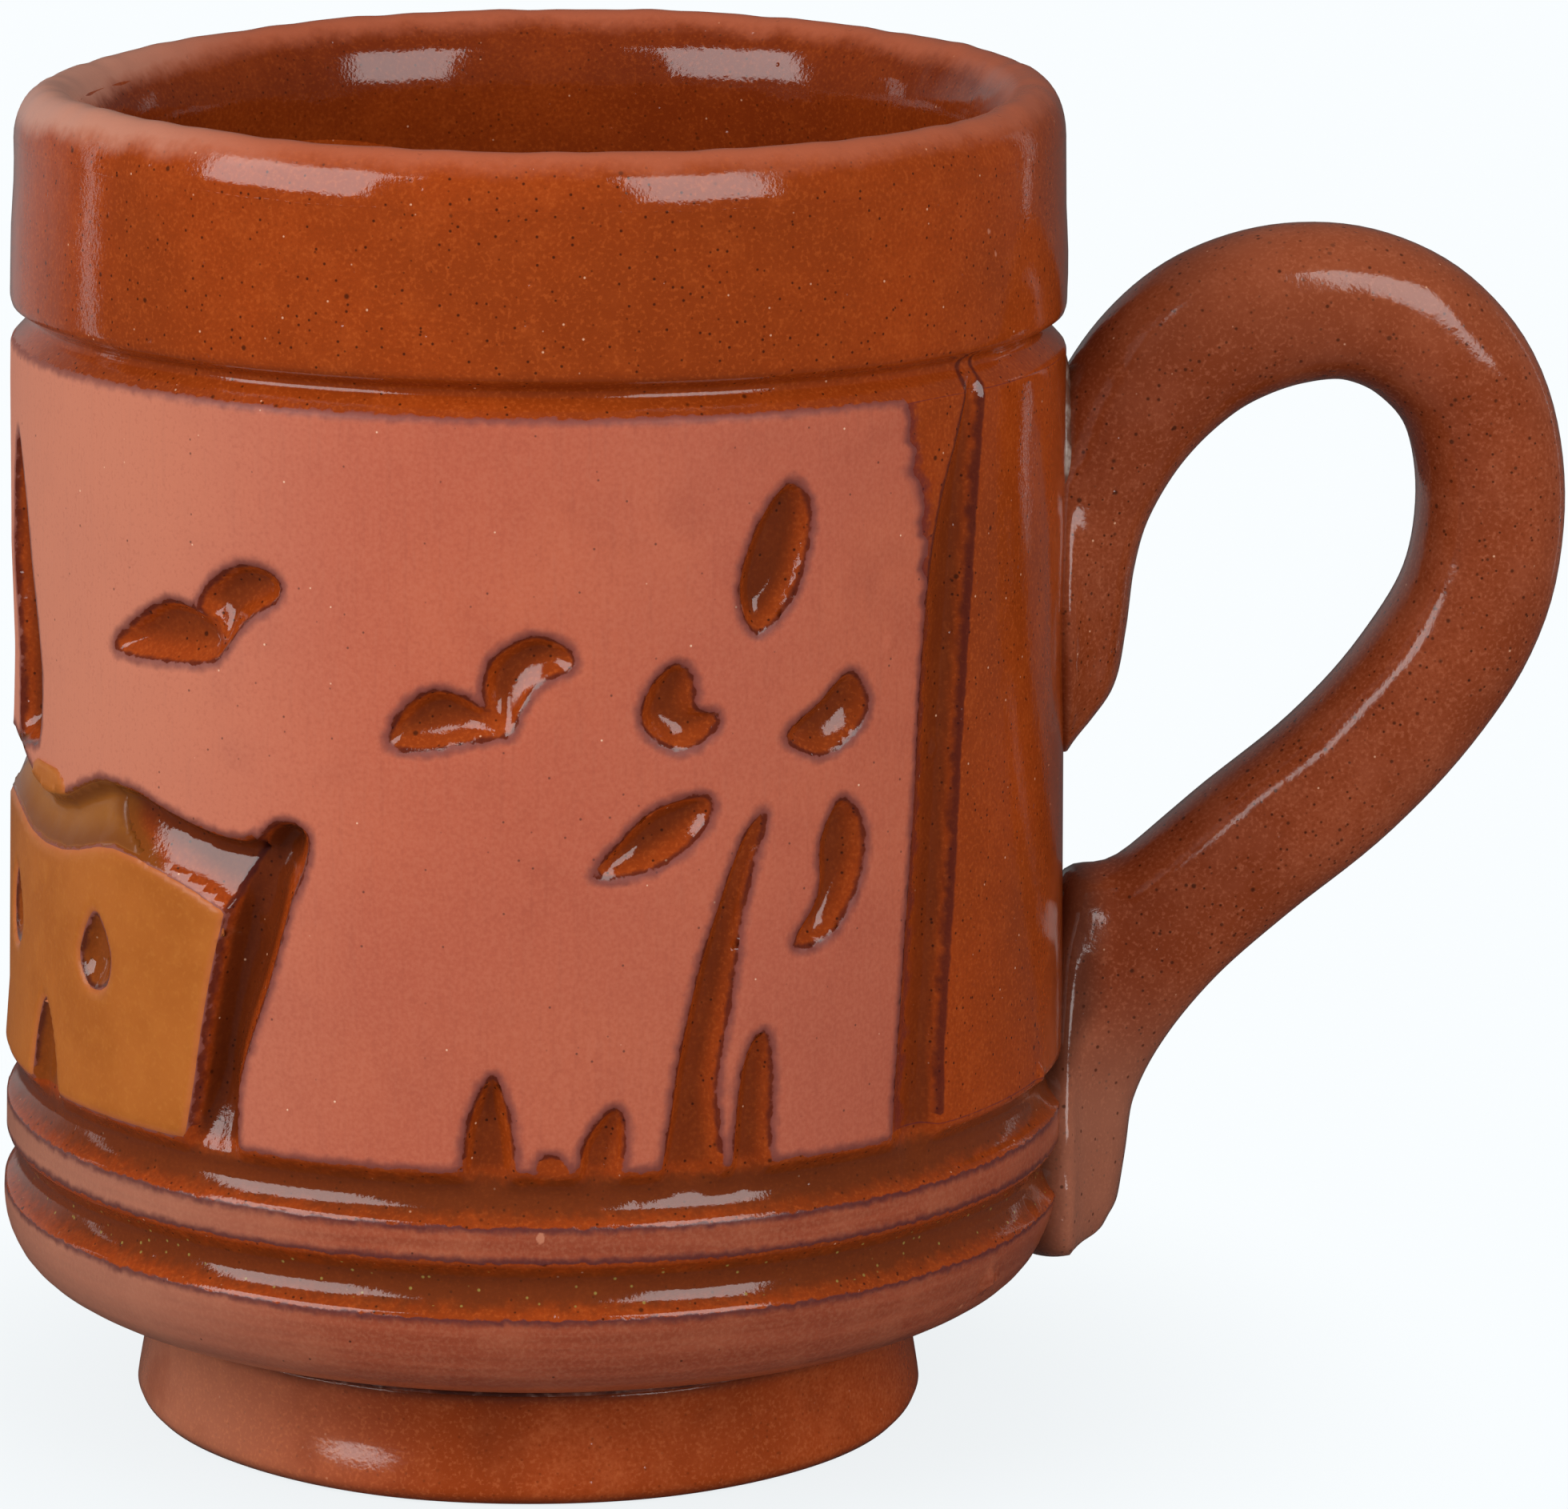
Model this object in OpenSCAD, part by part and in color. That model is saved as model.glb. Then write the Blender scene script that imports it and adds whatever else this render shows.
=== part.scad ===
// Jarrito mug of red clay: a thrown cup with a carved village scene, a foot ring and a coil handle.
// The origin is on the cup's axis, in the plane that the foot stands on. The handle points to +X.
// Angles of the scene are counted round the cup from its middle, in the sense of +X to +Y.

/* [Cup] */
// Height from the table to the top of the lip
cup_h = 104.5; // [98:0.5:125]
// Radius of the plain band under the lip
rim_r = 40; // [36:0.25:46]
// Radius at the top of the rounded belly, where the wall is widest
belly_r = 41.5; // [38:0.25:48]
// Radius at the top edge of the carved panel
panel_top_r = 40.4; // [37:0.1:46]
// Thickness of the wall at the belly, with its lining
wall_t = 7; // [5:0.25:9]
// Thickness of the wall at the top edge of the panel, with its lining
neck_t = 6.7; // [5:0.1:9]
// Thickness of the rolled lip
lip_t = 6.5; // [5:0.25:8]
// Height of the lip's round top
lip_rise = 3; // [2:0.25:4]
// Thickness of the floor over the foot, with its lining
floor_t = 6.3; // [4:0.1:9]
// Radius of the curve inside between wall and floor
heel_r = 8; // [5:0.5:12]

/* [Turned profile] */
// Height of the rounded belly between the foot and the lower groove
belly_h = 8.9; // [6:0.1:12]
// Width of the lower groove
low_groove_w = 3.9; // [2.5:0.1:5]
// Width of the ridge between the two grooves
ridge_w = 3; // [2:0.1:5]
// Width of the upper groove, which the scene stands in
high_groove_w = 3.8; // [2.5:0.1:5]
// Depth of both grooves
groove_depth = 1.2; // [0.8:0.1:1.8]
// Height of the carved panel
panel_h = 55.1; // [45:0.1:60]
// Height of the sloping shoulder between the panel and the notch
shoulder_w = 1.6; // [1:0.1:2.5]
// Width of the notch under the band
notch_w = 1.3; // [0.8:0.1:2]
// Depth of the notch under the band
notch_depth = 1.1; // [0.6:0.1:1.6]

/* [Foot] */
// Height of the foot ring with its joint, from the table to the belly
foot_h = 9.4; // [6:0.1:12]
// Outer radius of the foot ring at its top
foot_r = 30.7; // [26:0.1:34]
// Width of the foot ring's wall
foot_w = 6.5; // [4:0.1:9]
// How much narrower the foot ring is at the table
foot_taper = 0.4; // [0:0.1:1.5]
// Radius of the foot ring's round lower edge
foot_round = 1.5; // [0.5:0.1:2]

/* [Handle] */
// Distance from the cup's axis to the outside of the handle
handle_reach = 80.6; // [70:0.2:90]
// Height of the tail, where the handle ends low on the belly
handle_low_z = 13; // [11:0.5:20]
// Height of the coil's middle at its highest place
handle_top_z = 86.7; // [78:0.5:95]
// Thickness of the rolled coil, measured in the plane of the loop
coil_t = 12; // [9:0.25:14]
// Width of the rolled coil across the loop
coil_w = 12.4; // [9:0.2:15]

/* [Slip, glaze and engobe] */
// Thickness of the slip that joins the handle and the foot
slip_t = 0.4; // [0.2:0.1:0.8]
// How far the slip squeezes out beyond the piece that it holds
slip_bead = 0.8; // [0.3:0.1:1.5]
// Thickness of the glaze that lines the inside and the lip
lining_t = 0.35; // [0.2:0.05:0.8]
// Thickness of the ochre engobe on the front of the hut
engobe_t = 0.3; // [0.1:0.05:0.6]

/* [Carving] */
// Depth of the carved gouges
gouge_depth = 1.3; // [0.8:0.1:2]
// Depth of the shallow cuts for the hut's windows and door
window_depth = 0.9; // [0.5:0.1:1.5]
// Angle from the handle round to the middle of the scene
scene_turn = 94; // [86:1:110]

/* [Hidden] */
$fn = 96;

clay = "#b5593c";
glaze = "#7a3412";
slip = "#8f6a52";
ochre = "#b9762a";

// Length by which every cut runs past the surface that it opens
overrun = 3;
// Steps on a turned curve, on one span of a carved outline, and on one span of the handle's route
curve_steps = 12;
outline_steps = 4;
route_steps = 2;
// Sides of the coil
coil_sides = 20;

// Levels of the turned profile, from the foot to the lip
low_groove_z = foot_h + belly_h;
ridge_z = low_groove_z + low_groove_w;
high_groove_z = ridge_z + ridge_w;
panel_z = high_groove_z + high_groove_w;
panel_top_z = panel_z + panel_h;
notch_z = panel_top_z + shoulder_w;
band_z = notch_z + notch_w;
lip_z = cup_h - lip_rise;
floor_z = foot_h + floor_t;

// The wall narrows evenly from the belly to the top of the panel
function wall_r(z) = belly_r + (panel_top_r - belly_r) * (z - low_groove_z) / (panel_top_z - low_groove_z);
wall_lean = atan((belly_r - panel_top_r) / (panel_top_z - low_groove_z));

// The foot ring stands under the edge of the belly's flat base
foot_seat_r = foot_r + slip_bead;
foot_top_z = foot_h - slip_t;
foot_bore_r = foot_r - foot_w;

// Points of an elliptical arc in the plane of the profile
function arc(middle, rx, rz, from, to) =
    [for (i = [0 : curve_steps]) let (t = from + (to - from) * i / curve_steps)
        middle + [rx * cos(t), rz * sin(t)]];

// A hollow groove pressed into the wall between two levels
function groove(z_low, z_high, depth) =
    [for (i = [0 : curve_steps]) let (s = i / curve_steps, z = z_low + (z_high - z_low) * s)
        [wall_r(z) - depth * sin(180 * s), z]];

// The rounded belly, from the base's edge up to the widest place, grown outwards by a thickness
function belly(grow) =
    arc([foot_seat_r, low_groove_z], belly_r - foot_seat_r + grow, belly_h, -90, 0);

// The outside of the thrown cup up to the band, with its grooves and the notch
shoulder = [[wall_r(panel_top_z), panel_top_z],
            [rim_r - notch_depth, notch_z], [rim_r - notch_depth, notch_z + notch_w / 2],
            [rim_r, band_z]];
outside = concat([[0, foot_h]], belly(0), groove(low_groove_z, ridge_z, groove_depth),
                 groove(high_groove_z, panel_z, groove_depth), shoulder, [[rim_r, lip_z]]);

// The inside from the lip's outer edge to the middle of the floor. The clay lies one lining deeper.
lip_middle = [rim_r - lip_t / 2, lip_z];
heel_middle = [belly_r - wall_t - heel_r, floor_z + heel_r];
function inside(deeper) =
    concat(arc(lip_middle, lip_t / 2 - deeper, lip_rise - deeper, 0, 180),
           [[panel_top_r - neck_t + deeper, panel_top_z]],
           arc(heel_middle, heel_r + deeper, heel_r + deeper, 0, -90), [[0, floor_z - deeper]]);

// A smooth closed outline through a few points
function through(p, i, t) = let (n = len(p), a = p[(i + n - 1) % n], b = p[i], c = p[(i + 1) % n],
    d = p[(i + 2) % n])
    (2 * b + (c - a) * t + (2 * a - 5 * b + 4 * c - d) * t * t + (3 * b - a - 3 * c + d) * t * t * t) / 2;
function smooth(p) =
    [for (i = [0 : len(p) - 1], k = [0 : outline_steps - 1]) through(p, i, k / outline_steps)];

// Outlines of the carved scene: an angle from the scene's middle and a share of the panel's height
bird_1_left_share = [[-50, 0.65], [-46, 0.7], [-41.5, 0.73], [-36.5, 0.72], [-34, 0.695], [-35, 0.66],
    [-42, 0.645]];
bird_1_right_share = [[-37.4, 0.73], [-34.5, 0.775], [-31, 0.795], [-27.6, 0.78], [-27.3, 0.75],
    [-31, 0.72], [-34.3, 0.67], [-35.2, 0.7]];
bird_2_left_share = [[-15.2, 0.575], [-13.5, 0.625], [-10, 0.65], [-6, 0.63], [-2.9, 0.59],
    [-6.5, 0.58], [-11.7, 0.565]];
bird_2_right_share = [[-3, 0.585], [-5.2, 0.625], [-4.9, 0.68], [-0.8, 0.72], [3, 0.705],
    [3.5, 0.675], [0.4, 0.66], [-1.5, 0.625]];
frond_top_share = [[22.9, 0.715], [20.8, 0.77], [22.9, 0.86], [26.6, 0.91], [29, 0.87], [27.3, 0.77]];
frond_left_share = [[14.1, 0.68], [11.2, 0.645], [10.7, 0.6], [14.6, 0.565], [18.2, 0.59],
    [18.3, 0.61], [16.2, 0.625], [15.8, 0.66]];
frond_right_share = [[26.1, 0.575], [30.3, 0.545], [34.6, 0.57], [36, 0.61], [33.8, 0.65],
    [29.8, 0.615]];
frond_low_left_share = [[5.8, 0.405], [8, 0.445], [12, 0.49], [17.6, 0.5], [16.8, 0.455], [11.6, 0.41]];
frond_low_right_share = [[32.8, 0.48], [35.4, 0.445], [35.1, 0.375], [31.6, 0.3], [27, 0.29],
    [29.8, 0.35], [30.2, 0.43]];
trunk_share = [[23.9, 0.475], [21.1, 0.445], [17.2, 0.3], [15, 0.185], [13.7, 0.085], [12.9, -0.04],
    [19, -0.04], [18.5, 0.105], [19.8, 0.21], [21.7, 0.365]];
trunk_blade_share = [[23.8, 0.18], [21.2, 0.13], [20.6, -0.04], [23.8, -0.04], [24.6, 0.11]];
grass_1_share = [[-4.7, 0.13], [-7.2, 0.058], [-6.7, -0.045], [-3, -0.045], [-2.1, 0.02], [-2.9, 0.095]];
grass_2_share = [[7.8, 0.09], [4.6, 0.035], [4.9, -0.04], [8, -0.04], [9.1, 0.06]];
frame_share = [[52.2, 1.035], [49.2, 0.945], [46.1, 0.845], [43.9, 0.695], [42.3, 0.435],
    [40.9, 0.235], [39.7, -0.04], [45.8, -0.04], [47.2, 0.165], [48.5, 0.335], [49.7, 0.525],
    [51.4, 0.745], [53.2, 0.945], [54.2, 1.035]];
plant_share = [[-76.5, 0.88], [-72.8, 0.825], [-69.8, 0.71], [-67, 0.58], [-67.6, 0.48],
    [-70.5, 0.46], [-76, 0.48], [-76.6, 0.6], [-78.6, 0.745]];
plant_leaf_share = [[-86, 0.92], [-82.4, 0.78], [-82, 0.6], [-84, 0.48], [-88, 0.48], [-90, 0.6],
    [-89.6, 0.78]];
hut_side_share = [[-24, 0.445], [-24.2, 0.4], [-25.7, 0.345], [-28.3, 0.23], [-31.8, 0.09],
    [-32.4, -0.04], [-38.7, -0.04], [-37.5, 0.085], [-35.8, 0.21], [-33.6, 0.325], [-31.5, 0.4],
    [-27.9, 0.45]];
window_share = [[-53.6, 0.28], [-56.4, 0.22], [-54.5, 0.18], [-51.4, 0.185], [-50.8, 0.23]];
door_share = [[-65, 0.125], [-68, 0.05], [-68.2, -0.04], [-61.8, -0.04], [-62, 0.05]];
// Angle, top and foot of the hollow under the eaves
roof_share = [[-31.8, 0.425, 0.345], [-42, 0.45, 0.36], [-50, 0.468, 0.38], [-58, 0.44, 0.36],
    [-65, 0.42, 0.35], [-72, 0.44, 0.36], [-80, 0.468, 0.38], [-88, 0.45, 0.36], [-98.2, 0.425, 0.345]];

// The same outline on the other side of an angle, or moved round the cup
function mirrored(outline, about) = [for (p = outline) [2 * about - p[0], p[1]]];
function moved(outline, by) = [for (p = outline) [p[0] + by, p[1]]];

hut_turn = -65;
plant_turn = -86;
far_palm_turn = -80;
panel_turn = -86;
palm = [frond_top_share, frond_left_share, frond_right_share, frond_low_left_share,
        frond_low_right_share, trunk_share, trunk_blade_share];
birds = [bird_1_left_share, bird_1_right_share, bird_2_left_share, bird_2_right_share];
grass = [grass_1_share, grass_2_share];
far_bird_turns = [-100, -110];
far_grass_turns = [-140, -195];
gouges = concat(palm, birds, grass, [frame_share, mirrored(frame_share, panel_turn)],
    [plant_share, mirrored(plant_share, plant_turn), plant_leaf_share],
    [for (f = palm) mirrored(f, far_palm_turn)],
    [for (i = [0 : 3]) moved(birds[i], far_bird_turns[floor(i / 2)])],
    [for (by = far_grass_turns, g = grass) moved(g, by)],
    [hut_side_share, mirrored(hut_side_share, hut_turn)]);
openings = [window_share, mirrored(window_share, hut_turn), door_share];

// A cutter as deep as the wall is to be cut there. Its floor is a flat that leans with the wall.
module wall_cutter(turn, z, depth) {
    rotate(turn - scene_turn)
        translate([wall_r(z) - depth, 0, z])
            rotate([0, -wall_lean, 0])
                rotate([90, 0, 90])
                    linear_extrude(depth + overrun)
                        children();
}

// One cut with a flat floor, square to the wall at the middle of its outline
module gouge(outline, depth) {
    turns = [for (p = outline) p[0]];
    shares = [for (p = outline) p[1]];
    mid = (min(turns) + max(turns)) / 2;
    mid_h = panel_h * (min(shares) + max(shares)) / 2;
    r = wall_r(panel_z + mid_h);
    wall_cutter(mid, panel_z + mid_h, depth)
        polygon([for (p = smooth(outline)) [r * sin(p[0] - mid), panel_h * p[1] - mid_h]]);
}

// The hollow under the eaves, in short flat lengths that follow the wall. Each length runs on past its
// sides, so that none of the wall is left standing between two of them.
function beyond(near, far, past) = (near + far + (near - far) * past) / 2;
module roof_hollow(depth) {
    for (i = [0 : len(roof_share) - 2]) {
        right = roof_share[i];
        left = roof_share[i + 1];
        mid_h = panel_h * (right[1] + left[1]) / 2;
        r = wall_r(panel_z + mid_h);
        past = (r + overrun) / r;
        side = past * r * tan((right[0] - left[0]) / 2);
        wall_cutter((right[0] + left[0]) / 2, panel_z + mid_h, depth)
            polygon([[-side, panel_h * beyond(left[2], right[2], past) - mid_h],
                     [side, panel_h * beyond(right[2], left[2], past) - mid_h],
                     [side, panel_h * beyond(right[1], left[1], past) - mid_h],
                     [-side, panel_h * beyond(left[1], right[1], past) - mid_h]]);
    }
}

module carving() {
    for (g = gouges)
        gouge(g, gouge_depth);
    for (w = openings)
        gouge(w, window_depth);
    roof_hollow(gouge_depth);
}

// The thrown and turned cup, with the scene cut into its leather-hard wall
module cup_body() {
    color(clay)
        difference() {
            rotate_extrude()
                polygon(concat(outside, inside(lining_t)));
            carving();
        }
}

// The ring that the cup stands on, hollow underneath
module foot_ring() {
    round_middle = [foot_r - foot_taper - foot_round, foot_round];
    color(glaze)
        rotate_extrude()
            polygon(concat([[foot_bore_r, 0]], arc(round_middle, foot_round, foot_round, -90, 0),
                           [[foot_r, foot_top_z], [foot_bore_r, foot_top_z]]));
}

// The handle's route: distance out from the wall at that height and height as shares of the loop, then
// the coil's thickness and width as shares of their full size
route_share = [
    [0, 0.535, 0.24, 0.55], [0.006, 0.563, 0.5, 0.8], [0.012, 0.605, 0.7, 0.98],
    [0.019, 0.66, 0.8, 1.05], [0.037, 0.73, 0.87, 1.05], [0.075, 0.8, 0.93, 1.03],
    [0.142, 0.872, 0.98, 1], [0.239, 0.93, 1, 1], [0.357, 0.969, 1, 1], [0.516, 0.996, 1, 1],
    [0.68, 0.996, 1, 1], [0.836, 0.963, 1, 1], [0.953, 0.896, 1, 1], [1, 0.794, 0.98, 1],
    [0.971, 0.685, 0.98, 1], [0.852, 0.586, 1, 1], [0.667, 0.491, 1, 1], [0.433, 0.404, 1, 1],
    [0.246, 0.326, 1, 1], [0.112, 0.239, 0.98, 1], [0.032, 0.163, 0.98, 1.03],
    [-0.009, 0.088, 0.97, 1.12], [-0.029, 0.02, 0.93, 1.2], [-0.037, -0.015, 0.7, 1.02],
    [-0.037, -0.032, 0.35, 0.6]];
route_rise = handle_top_z - handle_low_z;

// A point of an open smooth curve through the rows of a table
function along(p, i, t) = let (n = len(p), b = p[i], c = p[i + 1],
    a = i > 0 ? p[i - 1] : 2 * b - c, d = i < n - 2 ? p[i + 2] : 2 * c - b)
    (2 * b + (c - a) * t + (2 * a - 5 * b + 4 * c - d) * t * t + (3 * b - a - 3 * c + d) * t * t * t) / 2;
route = concat([for (i = [0 : len(route_share) - 2], k = [0 : route_steps - 1])
    along(route_share, i, k / route_steps)], [route_share[len(route_share) - 1]]);
function route_point(i) = let (z = handle_low_z + route_rise * route[i][1], far = handle_reach - coil_t / 2)
    [wall_r(z) + (far - wall_r(z)) * route[i][0], z];

// One ring of the coil, square to the route
function ring(i) = let (last = len(route) - 1,
    ahead = route_point(min(i + 1, last)) - route_point(max(i - 1, 0)), along_route = ahead / norm(ahead),
    out = [along_route[1], -along_route[0]], middle = route_point(i),
    thick = coil_t / 2 * route[i][2], wide = coil_w / 2 * route[i][3])
    [for (k = [0 : coil_sides - 1]) let (t = 360 * k / coil_sides, p = middle + out * thick * cos(t))
        [p[0], wide * sin(t), p[1]]];

module coil() {
    rings = len(route);
    points = [for (i = [0 : rings - 1], p = ring(i)) p];
    sides = [for (i = [0 : rings - 2], k = [0 : coil_sides - 1], half = [0, 1])
        let (next = (k + 1) % coil_sides, low = i * coil_sides, high = low + coil_sides)
            half == 0 ? [low + k, high + k, high + next] : [low + k, high + next, low + next]];
    ends = [[for (k = [0 : coil_sides - 1]) k],
            [for (k = [coil_sides - 1 : -1 : 0]) (rings - 1) * coil_sides + k]];
    polyhedron(points, concat(sides, ends));
}

// The cup's plain outer form, grown outwards by a thickness
module cup_form(grow) {
    rotate_extrude()
        polygon(concat([[0, foot_h]], belly(grow),
                       [[wall_r(panel_top_z) + grow, panel_top_z], [rim_r + grow, band_z],
                        [rim_r + grow, cup_h], [0, cup_h]]));
}

// The rolled coil, bent to an ear and smeared on to the wall at both ends
module handle() {
    color(glaze)
        difference() {
            coil();
            cup_form(slip_t);
        }
}

// A pad of slip between the wall and the handle, squeezed out a little all round
module joint_pad(z_low, z_high, wide) {
    pad_steps = 32;
    middle_z = (z_low + z_high) / 2;
    half_h = (z_high - z_low) / 2 + slip_bead;
    half_w = wide / 2 + slip_bead;
    squareness = 0.8;
    outline = [for (i = [0 : pad_steps - 1]) let (t = 360 * i / pad_steps)
        [half_w * sign(cos(t)) * pow(abs(cos(t)), squareness),
         middle_z + half_h * sign(sin(t)) * pow(abs(sin(t)), squareness)]];
    color(slip)
        difference() {
            intersection() {
                cup_form(slip_t);
                rotate([90, 0, 90])
                    linear_extrude(max(belly_r, panel_top_r) + overrun)
                        polygon(outline);
            }
            rotate_extrude()
                polygon(concat(outside, [[0, lip_z]]));
        }
}

// Both joints run from the coil's own end to where its far side leaves the wall
upper_low_z = route_point(0)[1];
upper_high_z = handle_low_z + route_rise * 0.945;
lower_low_z = route_point(len(route) - 1)[1];
lower_high_z = handle_low_z + route_rise * 0.37;

module upper_joint_slip() {
    joint_pad(upper_low_z, upper_high_z, coil_w);
}

module lower_joint_slip() {
    joint_pad(lower_low_z, lower_high_z, coil_w);
}

// The thin ring of slip that holds the foot under the belly
module foot_joint_slip() {
    color(slip)
        translate([0, 0, foot_top_z])
            difference() {
                cylinder(h = slip_t, r = foot_seat_r);
                translate([0, 0, -overrun])
                    cylinder(h = slip_t + 2 * overrun, r = foot_bore_r);
            }
}

// The coat of ochre engobe on the front of the hut, open at the windows and the door
module hut_engobe() {
    left_turn = -96.5;
    right_turn = -33.5;
    top_z = panel_z + panel_h * 0.4;
    color(ochre)
        difference() {
            rotate(left_turn - scene_turn)
                rotate_extrude(angle = right_turn - left_turn)
                    polygon([[wall_r(panel_z), panel_z], [wall_r(panel_z) + engobe_t, panel_z],
                             [wall_r(top_z) + engobe_t, top_z], [wall_r(top_z), top_z]]);
            carving();
        }
}

// The fused glaze that seals the porous clay inside and over the lip
module lining_glaze() {
    skin = inside(lining_t);
    color(glaze)
        rotate_extrude()
            polygon(concat(inside(0), [for (i = [len(skin) - 1 : -1 : 0]) skin[i]]));
}

cup_body();
foot_ring();
handle();
upper_joint_slip();
lower_joint_slip();
foot_joint_slip();
hut_engobe();
lining_glaze();
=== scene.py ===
import math

import bmesh
import bpy
import numpy as np
from mathutils import Matrix, Vector


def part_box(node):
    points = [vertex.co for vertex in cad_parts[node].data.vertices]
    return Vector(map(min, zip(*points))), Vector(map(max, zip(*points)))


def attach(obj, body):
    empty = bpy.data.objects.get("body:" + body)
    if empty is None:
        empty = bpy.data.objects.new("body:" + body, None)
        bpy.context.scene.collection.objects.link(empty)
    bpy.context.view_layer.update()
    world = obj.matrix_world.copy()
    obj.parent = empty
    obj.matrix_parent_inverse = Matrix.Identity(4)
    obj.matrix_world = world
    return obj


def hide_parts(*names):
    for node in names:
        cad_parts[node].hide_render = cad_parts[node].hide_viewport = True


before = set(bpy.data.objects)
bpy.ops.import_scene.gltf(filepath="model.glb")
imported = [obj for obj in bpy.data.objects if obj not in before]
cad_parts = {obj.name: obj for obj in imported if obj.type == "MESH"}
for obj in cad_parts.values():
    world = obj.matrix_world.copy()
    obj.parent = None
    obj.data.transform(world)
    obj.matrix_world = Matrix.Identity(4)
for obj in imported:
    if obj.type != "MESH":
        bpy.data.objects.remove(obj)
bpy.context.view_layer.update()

# The camera.
# It stands at the photograph's viewing angle, a little above the lip, with a long lens.
mm = 0.001
photo_width = 1960
focal_px = 8355
sensor_mm = 36
camera_distance = 520 * mm
camera_azimuth = math.radians(-4)
camera_elevation = math.radians(12.29)
camera_pan = math.radians(2.16)
camera_roll = math.radians(0.70)
aim_height = 51.4 * mm

camera_data = bpy.data.cameras.new("photo_camera")
camera_data.sensor_width = sensor_mm
camera_data.lens = focal_px * sensor_mm / photo_width
camera = bpy.data.objects.new("photo_camera", camera_data)
bpy.context.scene.collection.objects.link(camera)
place = Vector((0, -math.cos(camera_elevation), math.sin(camera_elevation))) * camera_distance
place.z += aim_height
look = Vector((math.sin(camera_pan) * math.cos(camera_elevation),
               math.cos(camera_pan) * math.cos(camera_elevation), -math.sin(camera_elevation)))
side = look.cross(Vector((0, 0, 1))).normalized()
above = side.cross(look)
right = side * math.cos(camera_roll) + above * math.sin(camera_roll)
top = above * math.cos(camera_roll) - side * math.sin(camera_roll)
camera.matrix_world = (Matrix.Rotation(camera_azimuth, 4, "Z") @ Matrix.Translation(place)
                       @ Matrix((right, top, -look)).transposed().to_4x4())
bpy.context.scene.camera = camera
bpy.context.scene.view_settings.view_transform = "Standard"

# The cup.
# It is red earthenware, thrown on the wheel and turned when leather hard. The wall is burnished,
# a village scene is cut into it with a loop tool, and the band, grooves and cuts are glazed.
foot_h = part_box("cup_body")[0].z / mm
lip_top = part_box("lining_glaze")[1].z / mm
rim_r = 40.0
belly_r = 41.5
panel_top_r = 40.4
seat_r = 31.5
low_groove_z = 18.3
ridge_z = 22.2
high_groove_z = 25.2
panel_z = 29.0
panel_top_z = 84.1
notch_z = 85.7
band_z = 87.0
lip_z = lip_top - 4.0
groove_depth = 1.25
low_groove_middle = (low_groove_z + ridge_z) / 2
high_groove_middle = (high_groove_z + panel_z) / 2
low_glaze_reach = 2.1
high_glaze_reach = 2.0
notch_depth = 1.15
lip_out = 2.6
lip_in = 3.8
lip_drop = 9.0
lining_t = 0.35
band_flare = 0.4
side_press = 0.4
foot_shift = 0.45
heel_r = 8.0
inner_r = 34.5
neck_r = 33.7
floor_z = foot_h + 6.3
scene_turn = 94.0
scene_left = -227.0
seen_left = -86.0
scene_right = 70.0
seen_step = 0.52
far_step = 1.0
plain_step = 1.9
row_gap = 0.5
corner_soft = 0.35


def wall_radius(z):
    """Radius of the smooth wall, which narrows evenly from the belly to the top of the panel."""
    share = (z - low_groove_z) / (panel_top_z - low_groove_z)
    return belly_r + (panel_top_r - belly_r) * share


# The belly runs in to the foot: share of its height below the low groove, and share of its radius left
belly_form = np.array([(0, 1), (0.13, 0.993), (0.26, 0.97), (0.38, 0.933), (0.5, 0.885), (0.58, 0.835),
                       (0.65, 0.775), (0.71, 0.695), (0.76, 0.62), (0.81, 0.51), (0.86, 0.37), (0.91, 0.21),
                       (0.96, 0.08), (1, 0)])


def belly_radius(z):
    """Radius of the belly at a height."""
    below = (low_groove_z - z) / (low_groove_z - foot_h)
    return seat_r + (belly_r - seat_r) * np.interp(below, *belly_form.T)


def arc(middle, rx, rz, start, end, steps):
    """Points of an elliptical arc in the plane of a turned profile, in mm."""
    return [(middle[0] + rx * math.cos(t), middle[1] + rz * math.sin(t))
            for t in np.radians(np.linspace(start, end, steps + 1))]


def hollow(z_low, z_high, depth, steps):
    """Points across a groove pressed into the wall."""
    return [(wall_radius(z) - depth * math.sin(math.pi * (z - z_low) / (z_high - z_low)) ** 0.8, z)
            for z in np.linspace(z_low, z_high, steps + 1)]


def softened(points, gap_at, radius):
    """A turned profile in rows set gap_at apart, with its corners rounded as by glaze and a wet sponge."""
    p = np.array(points)
    fine_step = 0.05
    run = np.concatenate([[0], np.cumsum(np.hypot(*np.diff(p, axis=0).T))])
    fine = np.arange(0, run[-1], fine_step)
    width = int(radius / fine_step)
    kernel = np.hanning(2 * width + 3)[1:-1]
    kernel /= kernel.sum()
    rounded = []
    for column in p.T:
        even = np.interp(fine, run, column)
        padded = np.concatenate([np.full(width, even[0]), even, np.full(width, even[-1])])
        rounded.append(np.convolve(padded, kernel, "valid"))
    rounded = np.array(rounded)
    rounded[:, 0], rounded[:, -1] = p[0], p[-1]
    rows = np.concatenate([[0], np.cumsum(fine_step / np.interp(rounded[1][1:], *gap_at))])
    places = np.interp(np.linspace(0, rows[-1], round(rows[-1]) + 1), rows, fine)
    return [tuple(q) for q in np.stack([np.interp(places, fine, column) for column in rounded], 1)]


def ramp(value, none, full):
    """Rises from 0 to 1 as a value goes from one level to another, and stays there."""
    return np.clip((value - none) / (full - none), 0, 1)


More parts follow.
